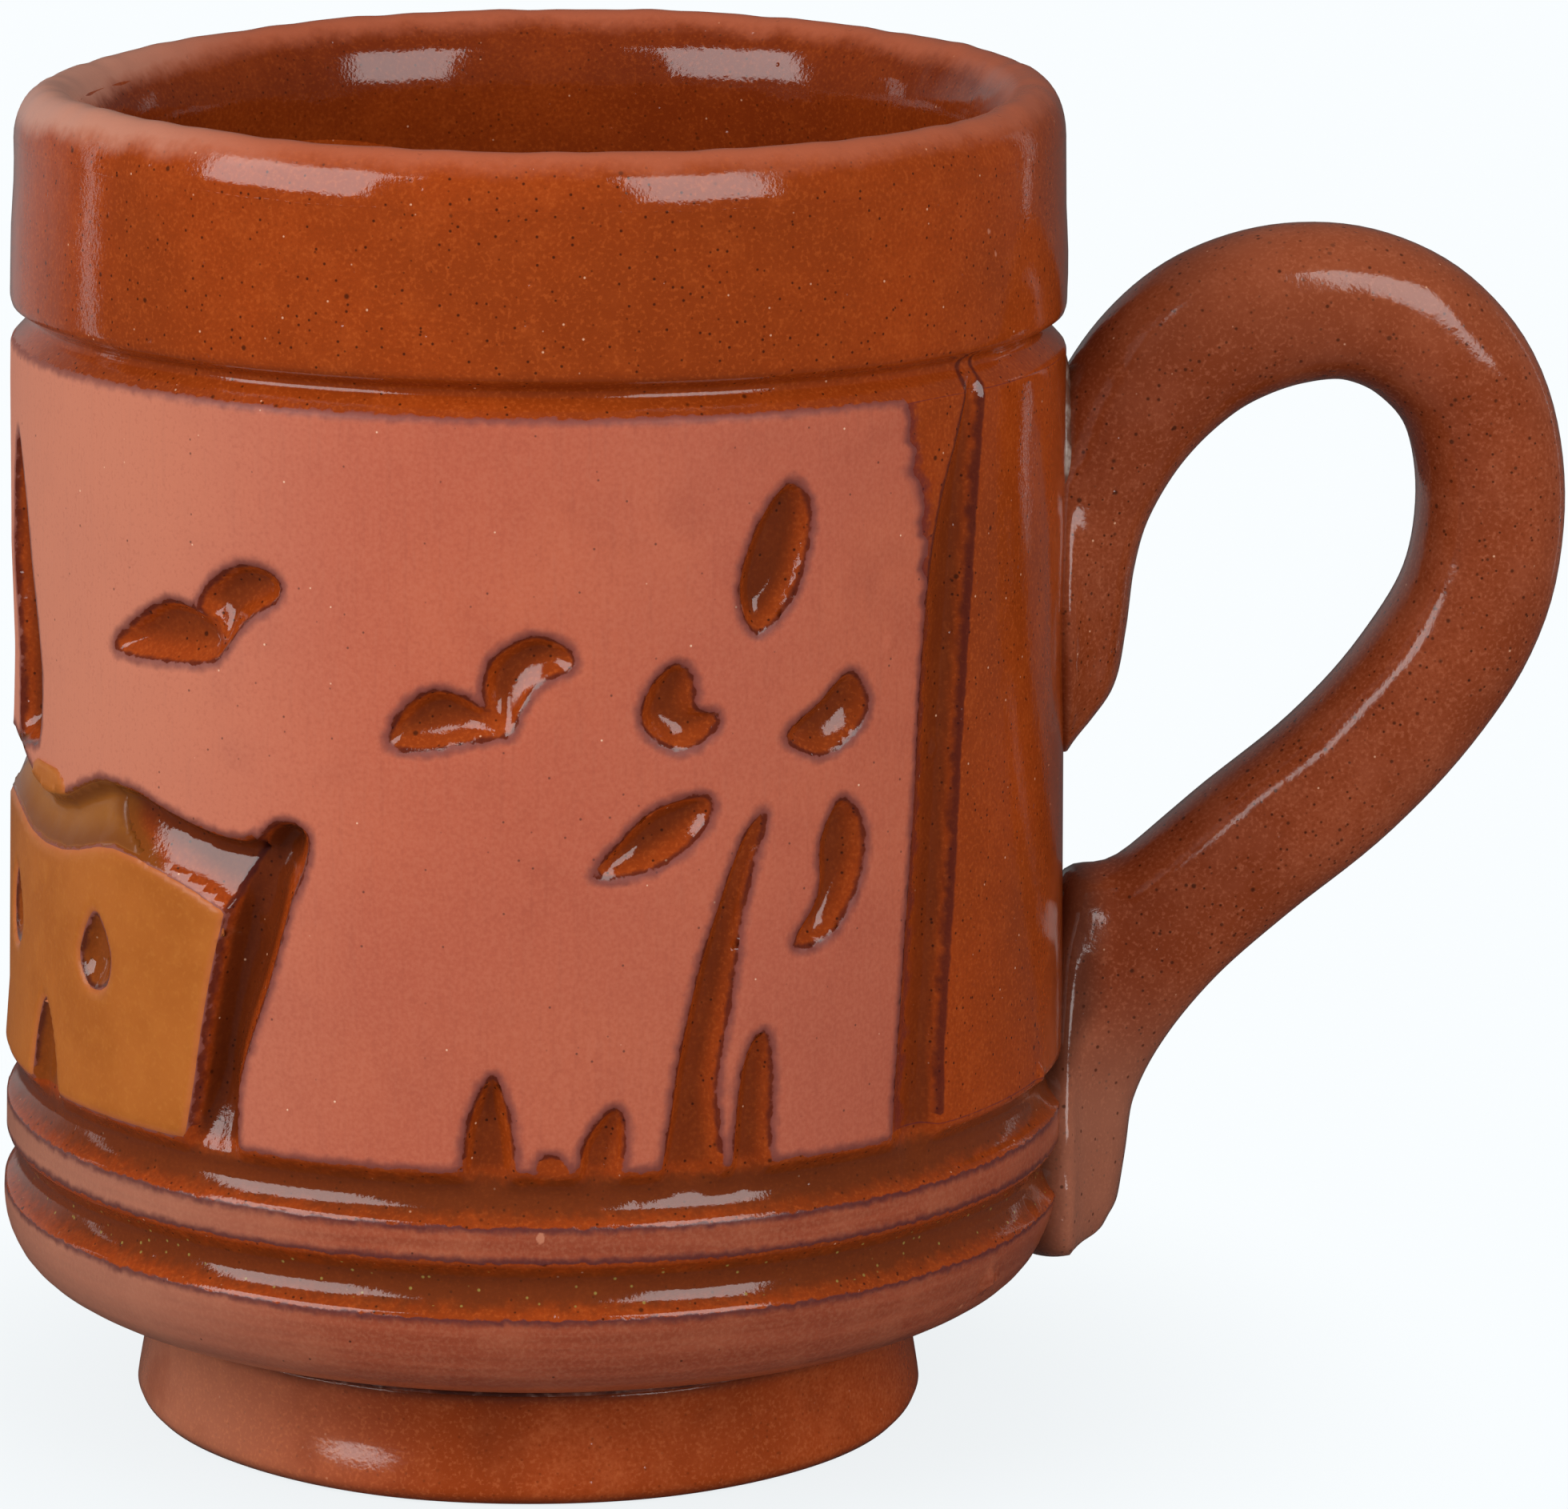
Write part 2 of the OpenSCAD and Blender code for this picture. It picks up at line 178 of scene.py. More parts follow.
def handmade(angle, z):
    """How far the thrown wall strays from a true circle, in mm. It is uneven and faintly ringed, its belly
    slumped to the left, its band flares at the foot, and it is pressed in where the hut was cut."""
    t = np.radians(angle)
    slow = 0.10 * np.sin(2 * t + 0.6) + 0.07 * np.sin(3 * t + 0.03 * z) + 0.05 * np.sin(5 * t - 0.05 * z)
    rings = 0.03 * np.sin(z * 0.9 + 0.8 * np.sin(t)) * (z > band_z)
    slump = -foot_shift * np.sin(t) * ramp(z, low_groove_z + 1, low_groove_z - 3)
    flare = band_flare * ramp(z, band_z + 12, band_z + 3) * ramp(z, band_z - 0.8, band_z)
    pressed = -side_press * np.exp(-((angle + 94) / 28) ** 2) * ramp(z, 28, 34) * ramp(z, 69, 61)
    return slow * ramp(z, foot_h, foot_h + 12) + rings + slump + flare + pressed


# The lip leans: how far it stands over or under its true height, by angle from the scene's middle
lip_lean = np.array([(-227, 0.62), (-216, 0.77), (-190, 0.85), (-170, 0.64), (-157, 0.38), (-138, -0.35),
                     (-126, -0.8), (-112, -1.15), (-98, -1.2), (-80, -1.0), (-60, -0.95), (-35, -1.3),
                     (0, -1.6), (30, -1.5), (60, -0.95), (90, -0.1), (119, 0.42), (133, 0.62)])


def lip_wave(angle, z):
    """How far the lip rises and falls round the rim, in mm. The thrower's hand left it so."""
    t = np.radians(angle)
    wave = (np.interp(angle, *lip_lean.T) + 0.05 * np.sin(5 * t) + 0.03 * np.sin(9 * t + 2)
            + 0.03 * np.sin(16 * t) + 0.03 * np.sin(37 * t + 1) + 0.02 * np.sin(59 * t))
    return wave * ramp(z, band_z + 1, lip_z + 1)


def turned(profile, spans):
    """A profile spun round the Z axis, in spans of their own angles and steps. It closes into a solid."""
    mesh = bmesh.new()
    first = Matrix.Rotation(math.radians(spans[0][0]), 3, "Z")
    chain = [mesh.verts.new(first @ Vector((r * mm, 0, z * mm))) for r, z in profile]
    ring = chain + [mesh.edges.new(pair) for pair in zip(chain, chain[1:])]
    whole = len(spans) == 1
    for start, end, steps in spans:
        made = bmesh.ops.spin(mesh, geom=ring, cent=(0, 0, 0), axis=(0, 0, 1), dvec=(0, 0, 0),
                              angle=math.radians(end - start), steps=steps, use_merge=whole)
        ring = made["geom_last"]
    bmesh.ops.remove_doubles(mesh, verts=mesh.verts, dist=0.004 * mm)
    bmesh.ops.dissolve_degenerate(mesh, edges=mesh.edges, dist=0.001 * mm)
    bmesh.ops.recalc_face_normals(mesh, faces=mesh.faces)
    return mesh


def angle_on_cup(co):
    """Angle of each point round the cup, from the scene's middle, kept between the scene's two ends."""
    angle = np.degrees(np.arctan2(co[:, 1], co[:, 0])) + scene_turn
    return (angle - scene_left) % 360 + scene_left


def coordinates(mesh):
    """All the vertices of a mesh, in mm."""
    co = np.empty(len(mesh.vertices) * 3)
    mesh.vertices.foreach_get("co", co)
    return co.reshape(-1, 3) / mm


def from_axis(co):
    """How far each point is from the cup's axis."""
    return np.hypot(co[:, 0], co[:, 1])


def set_points(mesh, co):
    """Moves all the vertices of a mesh to new places, in mm."""
    mesh.vertices.foreach_set("co", (co * mm).ravel())


def mark(mesh, name, values):
    """Gives each vertex of a mesh a value of its own, which a finish can read by its name."""
    layer = mesh.attributes.new(name, "FLOAT", "POINT")
    layer.data.foreach_set("value", values.astype(np.float32))


def finished(name, mesh, material):
    """Turns a bmesh into an object with smooth faces and one material."""
    data = bpy.data.meshes.new(name)
    mesh.to_mesh(data)
    mesh.free()
    data.polygons.foreach_set("use_smooth", [True] * len(data.polygons))
    data.materials.append(material)
    piece = bpy.data.objects.new(name, data)
    bpy.context.scene.collection.objects.link(piece)
    return piece


# Outlines of the cuts: angle from the scene's middle in degrees, height in mm
bird_1_left = [(-50.2, 64.8), (-46, 67.6), (-41.5, 69.2), (-36.5, 68.6), (-34, 67.2), (-35, 65.3),
               (-42, 64.6)]
bird_1_right = [(-37.4, 69.3), (-34.5, 71.8), (-31, 72.7), (-27.6, 72), (-27.3, 70.4), (-31, 68.6),
                (-34.3, 65.9), (-35.2, 67.6)]
bird_2_left = [(-15.2, 60.6), (-13.5, 63.4), (-10, 64.7), (-6, 63.7), (-2.9, 61.6), (-6.5, 60.9),
               (-11.7, 60.1)]
bird_2_right = [(-3, 61.3), (-5.4, 63.6), (-4.9, 66.8), (-0.8, 68.7), (3, 67.9), (3.5, 66.3),
                (0.4, 65.3), (-1.5, 63.4)]
frond_top = [(22.9, 68.3), (20.7, 71.5), (22.9, 76.4), (26.6, 79.2), (29, 76.8), (27.3, 71.4)]
frond_left = [(14.1, 66.6), (11.2, 64.8), (10.6, 62), (14.6, 60.1), (18.2, 61.5), (18.4, 62.7),
              (16.2, 63.3), (15.9, 65.4)]
frond_right = [(26.0, 60.6), (30.3, 58.9), (34.6, 60.3), (36.1, 62.6), (33.8, 64.9), (29.8, 62.8)]
frond_low_left = [(5.7, 51.1), (8, 53.4), (12, 56), (17.7, 56.7), (16.8, 54), (11.6, 51.5)]
frond_low_right = [(32.8, 55.6), (35.5, 53.4), (35.2, 49.6), (31.6, 45.6), (26.9, 45.1), (29.8, 48.6),
                   (30.2, 52.8)]
trunk = [(23.9, 55.1), (21.1, 53.2), (17.2, 45.5), (15, 39.2), (13.7, 33.6), (12.9, 26.5),
         (19, 26.5), (18.5, 34.9), (19.8, 40.5), (21.7, 49.2)]
trunk_blade = [(23.8, 39), (21.2, 36.1), (20.4, 26.5), (23.8, 26.5), (24.6, 35)]
grass_1 = [(-4.7, 36.4), (-7.2, 32), (-6.7, 26.5), (-3, 26.5), (-2.1, 30.1), (-2.9, 34.2)]
grass_2 = [(7.8, 34), (4.6, 31), (4.9, 26.5), (8, 26.5), (9.1, 32.2)]
smear = [(0.4, 30.2), (2.2, 30.4), (3.3, 29.4), (3, 27), (0.4, 27)]
window = [(-53.6, 44.4), (-56.4, 41), (-54.5, 38.8), (-51.4, 39.2), (-50.8, 41.8)]
door = [(-65, 36), (-68, 31.8), (-68.2, 26.5), (-61.8, 26.5), (-62, 31.8)]
frame_groove = [(52.2, 86.3), (49.2, 81), (46.1, 75.5), (43.9, 67.4), (42.3, 53), (40.9, 42),
                (39.7, 26.5), (45.8, 26.5), (47.2, 38), (48.5, 47.4), (49.7, 58), (51.4, 70),
                (53.2, 81), (54.2, 86.3)]
hut_side = [(-24, 53.6), (-24.1, 51), (-25.7, 48), (-28.3, 41.7), (-31.8, 34), (-32.4, 26.5),
            (-38.7, 26.5), (-37.5, 33.6), (-35.8, 40.5), (-33.6, 46.8), (-31.5, 50.6), (-27.9, 53.9)]
plant = [(-76.5, 78), (-72.8, 74.5), (-69.6, 68.2), (-67, 61), (-67.6, 55.8), (-71, 54.8),
         (-76, 55.2), (-76.6, 62), (-78.6, 70)]
plant_leaf = [(-86, 80), (-82.4, 72), (-82, 62), (-84, 55.5), (-88, 55.5), (-90, 62), (-89.6, 72)]
plant_middle = -86
hut_middle = -65
far_palm_middle = -80
panel_middle = -86
# How wide a cut's sloping walls are at its left, right, top and foot, in mm: the loop tool goes in
# steeply from above, and lifts out slowly. The last number is how gently the wall starts at the edge
leaf_walls = (1.5, 1.9, 1.1, 2.4, 0.85)
stem_walls = (0.9, 1.6, 1.2, 2.0, 0.85)
frame_walls = (3.4, 0.7, 1.5, 3.0, 0.85)
side_walls = (0.9, 2.4, 1.0, 10.0, 1.2)
palm = [(frond_top, 1.5, leaf_walls), (frond_left, 1.3, leaf_walls), (frond_right, 1.3, leaf_walls),
        (frond_low_left, 1.4, leaf_walls), (frond_low_right, 1.4, leaf_walls), (trunk, 1.3, stem_walls),
        (trunk_blade, 1.3, stem_walls)]
birds = [(outline, 1.3, leaf_walls) for outline in (bird_1_left, bird_1_right, bird_2_left, bird_2_right)]
grass = [(grass_1, 1.3, stem_walls), (grass_2, 1.2, stem_walls)]
frame_cut = [(frame_groove, 1.4, frame_walls)]
plant_cut = [(plant, 1.8, leaf_walls)]
side_cut = [(hut_side, 2.7, side_walls)]
window_cut = [(window, 0.9, (0.8, 1.6, 0.8, 2.0, 0.85))]


def mirrored(figures, about):
    """The same cuts on the other side of an angle."""
    return [([(2 * about - a, z) for a, z in outline], depth, (walls[1], walls[0]) + walls[2:])
            for outline, depth, walls in figures]


def moved(figures, by):
    """The same cuts further round the cup."""
    return [([(a + by, z) for a, z in outline], depth, walls) for outline, depth, walls in figures]


cuts = (palm + birds + grass + frame_cut + plant_cut + side_cut + window_cut
        + [(smear, 0.35, leaf_walls), (plant_leaf, 1.5, leaf_walls), (door, 1.0, stem_walls)]
        + mirrored(frame_cut, panel_middle) + mirrored(plant_cut, plant_middle)
        + mirrored(palm, far_palm_middle) + moved(birds[:2], -100) + moved(birds[2:], -110)
        + moved(grass, -140) + moved(grass, -195)
        + mirrored(side_cut, hut_middle) + mirrored(window_cut, hut_middle))
# Beads of glaze and of slip left beside the handle: angle, height, radius and rise in mm
beads = [(57.5, 15.2, 0.75, 0.7), (59.4, 15.0, 0.45, 0.4), (69.5, 19.0, 0.7, 0.5), (66.6, 21.4, 0.4, 0.35),
         (69.0, 29.6, 0.8, 0.35), (38.6, 66.4, 0.35, 0.3), (36.5, 53.2, 0.4, 0.3), (47.9, 57.5, 0.35, 0.3)]
# The hollow under the eaves: angle, its foot on the hut's wall, and its top under the roof's edge, in mm.
# It deepens upwards from a small step over the hut's front, and more on the side where it was scooped out
eaves = np.array([(-100, 46.4, 53.2), (-97.3, 46.4, 52.4), (-94, 47.6, 52.9), (-89.4, 48.8, 53.7),
                  (-85, 49.5, 54.4), (-80, 49.9, 54.8), (-75, 49.4, 54.3), (-70, 48.5, 53.0),
                  (-65, 48.2, 52.2), (-60, 48.4, 52.6), (-56.5, 48.9, 53.7), (-53, 49.6, 54.6),
                  (-50, 49.9, 54.75), (-46, 49.6, 54.5), (-42, 49.0, 53.7), (-38, 48.2, 53.0),
                  (-34.5, 47.2, 52.5), (-32, 46.4, 52.4), (-29, 45.5, 53.2)])
eaves_ends = (-99, -30)
eaves_depth = 2.5
eaves_step = 0.35
eaves_scoop = 1.2
scoop_start = -56
scoop_run = 15
edge_sink = 0.08
edge_reach = 0.3


def curve_through(a, b, c, d, steps):
    """Points in steps along a smooth curve from each row of b to its row of c. It comes from a's row and
    goes on to d's."""
    t = np.arange(steps)[:, None, None] / steps
    q = (2 * b + (c - a) * t + (2 * a - 5 * b + 4 * c - d) * t ** 2 + (3 * b - a - 3 * c + d) * t ** 3) / 2
    return q.transpose(1, 0, 2).reshape(-1, b.shape[1])


def smooth_outline(outline, steps=6):
    """A round closed curve through an outline's points, as arc length and height in mm."""
    p = np.array([(math.radians(a) * belly_r, z) for a, z in outline])
    return curve_through(np.roll(p, 1, 0), p, np.roll(p, -1, 0), np.roll(p, -2, 0), steps)


def outline_distance(points, outline, walls):
    """Distance of each point from a closed outline, less than zero inside, the nearest place on it, and
    how far across the cut's sloping wall the point is, from 0 at the edge to 1 at the wall's foot."""
    a = outline
    along = np.roll(outline, -1, 0) - a
    t = np.clip(((points[:, None] - a) * along).sum(2) / (along ** 2).sum(1), 0, 1)
    near = a + along * t[..., None]
    gap = np.linalg.norm(points[:, None] - near, axis=2)
    best = gap.argmin(1)
    rows = np.arange(len(points))
    x, y = points[:, :1], points[:, 1:]
    crosses = (a[:, 1] > y) != (a[:, 1] + along[:, 1] > y)
    where = a[:, 0] + along[:, 0] * (y - a[:, 1]) / np.where(along[:, 1] == 0, 1e-9, along[:, 1])
    inside = (crosses & (x < where)).sum(1) % 2 == 1
    turn = np.sign((a[:, 0] * np.roll(a, -1, 0)[:, 1] - np.roll(a, -1, 0)[:, 0] * a[:, 1]).sum())
    out = np.stack([along[:, 1], -along[:, 0]], 1) * turn / np.linalg.norm(along, axis=1)[:, None]
    left, right, top, foot = walls[:4]
    width = (out[:, 0] ** 2 * np.where(out[:, 0] < 0, left, right)
             + out[:, 1] ** 2 * np.where(out[:, 1] > 0, top, foot))
    across = np.where(inside, np.clip((gap / width).min(1), 0, 1), 0)
    return np.where(inside, -1, 1) * gap[rows, best], near[rows, best], across


def nearest_cut(flat, figures, reach=2.5, far=9.0):
    """For each point of the unrolled wall: depth cut away, distance to the nearest cut, and its edge."""
    depth, distance, edge = np.zeros(len(flat)), np.full(len(flat), far), flat.copy()
    for outline, deep, walls in figures:
        curve = smooth_outline(outline)
        low, high = curve.min(0) - reach, curve.max(0) + reach
        close = np.where(((flat > low) & (flat < high)).all(1))[0]
        gap, near, across = outline_distance(flat[close], curve, walls)
        sink = edge_sink * np.exp(-(np.clip(gap, 0, None) / edge_reach) ** 2)
        cut = deep * np.sin(across * math.pi / 2) ** walls[4] + sink
        depth[close] = np.maximum(depth[close], cut)
        nearer = gap < distance[close]
        edge[close[nearer]] = near[nearer]
        distance[close] = np.minimum(distance[close], gap)
    return depth, distance, edge


# How far the engobe's mesh runs on under the surface past its own edge, in mm
engobe_overlap = 0.35


def carve(mesh):
    """Cuts the scene into the turned wall, and writes where cuts, glaze and engobe lie as attributes."""
    co = coordinates(mesh)
    angle = angle_on_cup(co)
    radius = from_axis(co)
    z = co[:, 2].copy()
    picked = np.where((radius > inner_r + 3) & (z > high_groove_z) & (z < band_z))[0]
    flat = np.stack([np.radians(angle) * belly_r, z], 1)[picked]
    cell = np.where(angle[picked] > seen_left, seen_step, far_step) * math.radians(1) * belly_r

    # A vertex less than half a cell from a cut's edge moves on to it, so that a row of edges follows it
    half_cell = 0.51
    gap, near = nearest_cut(flat, cuts)[1:]
    step = near - flat
    reach = half_cell * np.maximum(np.abs(step[:, 0]) * cell, np.abs(step[:, 1]) * row_gap)
    snapped = (gap ** 2 < reach) & (flat[:, 1] > panel_z + 0.4) & (flat[:, 1] < panel_top_z - 0.4)
    flat[snapped] = near[snapped]
    along = np.degrees(flat[:, 0] / belly_r)
    foot = np.interp(along, eaves[:, 0], eaves[:, 1])
    top = np.interp(along, eaves[:, 0], eaves[:, 2])
    under_eaves = (along > eaves_ends[0]) & (along < eaves_ends[1])
    for line in (foot, top):
        close = under_eaves & ~snapped & (np.abs(flat[:, 1] - line) < half_cell * row_gap)
        flat[close, 1] = line[close]
        snapped |= close
    depth, cut_edge = nearest_cut(flat, cuts)[:2]
    share = ramp(flat[:, 1], foot, top)
    lip_of_roof = ramp(flat[:, 1], top, top - 0.7)
    by_side = np.clip((flat[:, 0] - belly_r * math.radians(scoop_start)) / scoop_run, 0, 1) ** 1.5
    front_edge = ramp(flat[:, 1], foot, foot + 0.6)
    rise = 0.6 * share + 0.4 * share ** 3
    cove = (eaves_step * front_edge + (eaves_depth - eaves_step) * rise
            + eaves_scoop * by_side * (0.3 * front_edge + 0.7 * rise))
    depth = np.maximum(depth, cove * lip_of_roof * under_eaves)
    eaves_edge = np.where(under_eaves, np.maximum(foot - flat[:, 1], flat[:, 1] - top), 9.0)

    angle[picked] = np.degrees(flat[:, 0] / belly_r)
    z[picked] = flat[:, 1]
    radius[picked] = np.minimum(radius[picked], wall_radius(flat[:, 1]) - depth)
    outer = radius > inner_r + 1.5
    for bead_angle, bead_z, bead_r, rise in beads:
        off = np.hypot(np.radians(angle - bead_angle) * belly_r, z - bead_z) / bead_r
        radius += rise * np.clip(1 - off ** 2, 0, 1) ** 0.6 * outer
    radius = radius + handmade(angle, z) * outer
    z = z + lip_wave(angle, z) * outer
    turn = np.radians(angle - scene_turn)
    set_points(mesh, np.stack([radius * np.cos(turn), radius * np.sin(turn), z], 1))

    def spread(values, rest):
        """Values of the wall's own vertices, with one value on the rest of the cup."""
        everywhere = np.full(len(co), float(rest))
        everywhere[picked] = values
        return everywhere

    # The glaze: on the band and shoulder, in both grooves, round the handle, and in the cuts. Distances
    # from its edges are in mm, less than zero on it, and wall_mm is the length of a degree of the wall
    wall_mm = 0.72
    field_left = np.interp(z, [29, 33.6, 44.2, 53, 67.4, 71.5, 75.5, 79, 84],
                           [41, 41.5, 42.6, 43.5, 44.6, 43.9, 44, 42.6, 41.2])
    field_left += 0.45 * np.sin(1.9 * z + np.sin(0.7 * z)) + 0.18 * np.sin(4.3 * z + 2 * np.sin(1.1 * z))
    field = np.maximum((field_left - angle) * wall_mm, high_groove_z - z)
    far_field = np.maximum((angle - 2 * panel_middle + field_left) * wall_mm, high_groove_z - z)
    cut_gap = spread(cut_edge, 9)
    eaves_gap = spread(eaves_edge, 9)
    roof_turn = np.abs(angle - hut_middle)
    zones = [field, far_field, panel_top_z + 0.3 - z, np.abs(z - low_groove_middle) - low_glaze_reach,
             np.abs(z - high_groove_middle) - high_glaze_reach, cut_gap, eaves_gap]
    glaze = np.clip(np.minimum.reduce(zones), -4, 4)
    # The engobe: on the hut's front, on the back half of the hollow over it, and a dab above the roof
    front = np.maximum.reduce([(roof_turn - 31.9) * wall_mm, -cut_gap, -eaves_gap, panel_z + 0.1 - z,
                               z - 50.2])
    brushed = (roof_turn - 13.5 - 7 * (1 - spread(share, 0)) ** 1.5 - 0.6 * np.sin(z * 1.3)) * wall_mm
    back = np.maximum.reduce([eaves_gap, -cut_gap, brushed])
    dab = np.maximum(np.hypot((roof_turn - 1) * wall_mm, (z - 52.9) * 2.0) - 3.0, -cut_gap)
    engobe = np.clip(np.minimum.reduce([front, back, dab]) - engobe_overlap, -4, 4)
    brushed, eaves_gap, cut_gap = [np.clip(gap, -4, 4) for gap in (brushed, eaves_gap, cut_gap)]
    in_window = np.where((roof_turn < 24) & (z < 47) & (z > panel_z), 0.9, 4)
    beside_panel = np.where((z < panel_top_z) & (z > panel_z + 0.3),
                            np.clip(np.minimum(field, far_field), -4, 4), 4)
    cut_depth = spread(np.clip(depth, 0, 2.5), 0) * ramp(z, 27.3, 29.7)
    marks = {"glaze_edge": glaze, "hollow_edge": eaves_gap, "engobe_edge": engobe, "cut_edge": cut_gap,
             "ochre_stain": np.where(eaves_gap < 0.4, brushed, in_window), "field_edge": beside_panel,
             "cut_depth": cut_depth, "on_outline": spread(snapped, 0)}
    for name, values in marks.items():
        mark(mesh, name, values)


def colour(hex_code):
    """An sRGB colour written as six hex digits, as linear red, green, blue and alpha."""
    channels = [int(hex_code[i:i + 2], 16) / 255 for i in (0, 2, 4)]
    return [c / 12.92 if c <= 0.04045 else ((c + 0.055) / 1.055) ** 2.4 for c in channels] + [1]


def add(tree, kind, inputs=None, **settings):
    """Adds one node with its settings, and sets its inputs or links them to sockets."""
    node = tree.nodes.new(kind)
    for key, value in settings.items():
        setattr(node, key, value)
    for key, value in (inputs or {}).items():
        if isinstance(value, bpy.types.NodeSocket):
            tree.links.new(value, node.inputs[key])
        else:
            node.inputs[key].default_value = value
    return node


def new_finish(name, *patterns):
    """A material with an empty tree, each point's place on the object in mm, and the cloudy patterns that
    its colour and height vary by. Each pattern has a size in mm and a number of finer sizes in it."""
    material = bpy.data.materials.new(name)
    material.use_nodes = True
    tree = material.node_tree
    tree.nodes.clear()
    place = add(tree, "ShaderNodeTexCoord").outputs["Object"]
    where = add(tree, "ShaderNodeVectorMath", {0: place, "Scale": 1 / mm}, operation="SCALE").outputs[0]
    clouds = [add(tree, "ShaderNodeTexNoise", {"Vector": where, "Scale": 1 / size, "Detail": detail})
              .outputs["Fac"] for size, detail in patterns]
    return material, tree, where, clouds


def specks(tree, where, spacing, size, kept):
    """Grains in the clay, with their spacing and radius in mm and the share of them that shows."""
    cells = add(tree, "ShaderNodeTexVoronoi", {"Vector": where, "Scale": 1 / spacing})
    near = add(tree, "ShaderNodeMapRange", {0: cells.outputs["Distance"], 1: size / spacing,
               2: 0.4 * size / spacing}).outputs[0]
    pick = add(tree, "ShaderNodeSeparateColor", {0: cells.outputs["Color"]}).outputs[0]
    chosen = add(tree, "ShaderNodeMath", {0: pick, 1: kept}, operation="LESS_THAN").outputs[0]
    return add(tree, "ShaderNodeMath", {0: near, 1: chosen}, operation="MULTIPLY").outputs[0]


def layered(tree, ground, coats):
    """Lays coats of colour over a ground. Each has a mask, the levels between which it comes in, how
    much of it there is at most, and its colour. A colour is six hex digits, or comes from a node."""
    for mask, none, full, most, tone in coats:
        amount = add(tree, "ShaderNodeMapRange", {0: mask, 1: none, 2: full, 3: 0, 4: most},
                     interpolation_type="SMOOTHSTEP").outputs[0]
        mix = add(tree, "ShaderNodeMix", {0: amount}, data_type="RGBA")
        for socket, value in ((mix.inputs[6], ground), (mix.inputs[7], tone)):
            if isinstance(value, bpy.types.NodeSocket):
                tree.links.new(value, socket)
            else:
                socket.default_value = colour(value)
        ground = mix.outputs[2]
    return ground


def relief(tree, *patterns):
    """The height of a surface in mm, from its patterns and the height of each."""
    height = 0.0
    for pattern, rise in patterns:
        height = add(tree, "ShaderNodeMath", {0: pattern, 1: rise, 2: height},
                     operation="MULTIPLY_ADD").outputs[0]
    return height


def coated(tree, tone, roughness, height, level):
    """The surface itself: its colour, roughness and height in mm, and how much it mirrors."""
    bump = add(tree, "ShaderNodeBump", {"Height": height, "Distance": mm, "Strength": 1.0})
    inputs = {"Base Color": tone, "Normal": bump.outputs["Normal"], "IOR": 1.5, "Specular IOR Level": level,
              "Roughness": roughness}
    shader = add(tree, "ShaderNodeBsdfPrincipled", inputs)
    add(tree, "ShaderNodeOutputMaterial", {"Surface": shader.outputs[0]})


# How much the glaze mirrors, how rough it is, and its colours: thin, middling and thick, pooled, dark specks,
# and pale specks that are painted glints
glaze_mirror = 0.42
glaze_roughness = 0.08
outside_amber = ("8a360e", "a23f10", "b6531e")
pooled = "4e200e"
speck_dark = "2c1006"
pale_speck_glints = "e0a884"


def amber_glaze(tree, where, dark, middle, light, depth=None, freckled=1.0):
    """Colour and height of clear amber glaze over red clay. It is darker where it pools in a cut, and its
    pale specks are painted glints.
    """
    cloud, patch, fine, peel = [
        add(tree, "ShaderNodeTexNoise", {"Vector": where, "Scale": 1 / size, "Detail": detail}).outputs["Fac"]
        for size, detail in ((18, 3), (2.2, 4), (0.3, 2), (3.4, 2))]
    coats = [(cloud, 0.35, 0.65, 0.65, middle), (patch, 0.45, 0.75, 0.2, light),
             (patch, 0.5, 0.3, 0.2, dark), (fine, 0.5, 0.72, 0.45, light), (fine, 0.48, 0.3, 0.6, dark)]
    if depth is not None:
        coats.append((depth, 0.75, 1.8, 0.75, pooled))
    coats += [(specks(tree, where, 0.66, 0.15, 0.5), 0, 1, 0.8 * freckled, speck_dark),
              (specks(tree, where, 2.4, 0.27, 0.35), 0, 1, 0.75 * freckled, speck_dark),
              # painted glints: small pale specks on the glaze
              (specks(tree, where, 1.5, 0.12, 0.4), 0, 1, 0.85 * freckled, pale_speck_glints)]
    pinholes = specks(tree, where, 1.9, 0.2, 0.35)
    height = relief(tree, (peel, 0.05), (patch, 0.02), (fine, 0.012), (pinholes, -0.04))
    return layered(tree, dark, coats), height


# Burnished red earthenware under amber glaze: the bare clay is matt and pink, the glaze orange, glassy
# and freckled, and the soda in it stains the clay purple along its edge.
cup_clay, tree, where, (broad, smudge, fray, grain) = new_finish(
    "burnished_earthenware_and_amber_glaze", (22, 5), (6, 6), (0.9, 5), (0.3, 2))
glaze_edge, cut_depth, cut_edge, ochre_stain, field_edge = [
    add(tree, "ShaderNodeAttribute", attribute_name=name).outputs["Fac"]
    for name in ("glaze_edge", "cut_depth", "cut_edge", "ochre_stain", "field_edge")]
height = add(tree, "ShaderNodeSeparateXYZ", {0: where}).outputs["Z"]
# The tool's strokes run up and down, and the wheel's lines run round
up_down, round_cup = [
    add(tree, "ShaderNodeMapping", {"Vector": where, "Scale": stretch}).outputs["Vector"]
    for stretch in ((2.2, 2.2, 0.15), (0.05, 0.05, 1.6))]
strokes, wheel_lines = [
    add(tree, "ShaderNodeTexNoise", {"Vector": run, "Scale": 1.0, "Detail": 4}).outputs["Fac"]
    for run in (up_down, round_cup)]
edge = relief(tree, (glaze_edge, 1.0), (fray, 0.8))
glazed = add(tree, "ShaderNodeMapRange", {0: edge, 1: 0.5, 2: 0.34}).outputs[0]
washed = add(tree, "ShaderNodeMapRange", {0: height, 1: high_groove_z + 0.8, 2: high_groove_z}).outputs[0]
glaze_tone, glaze_height = amber_glaze(tree, where, *outside_amber, cut_depth)
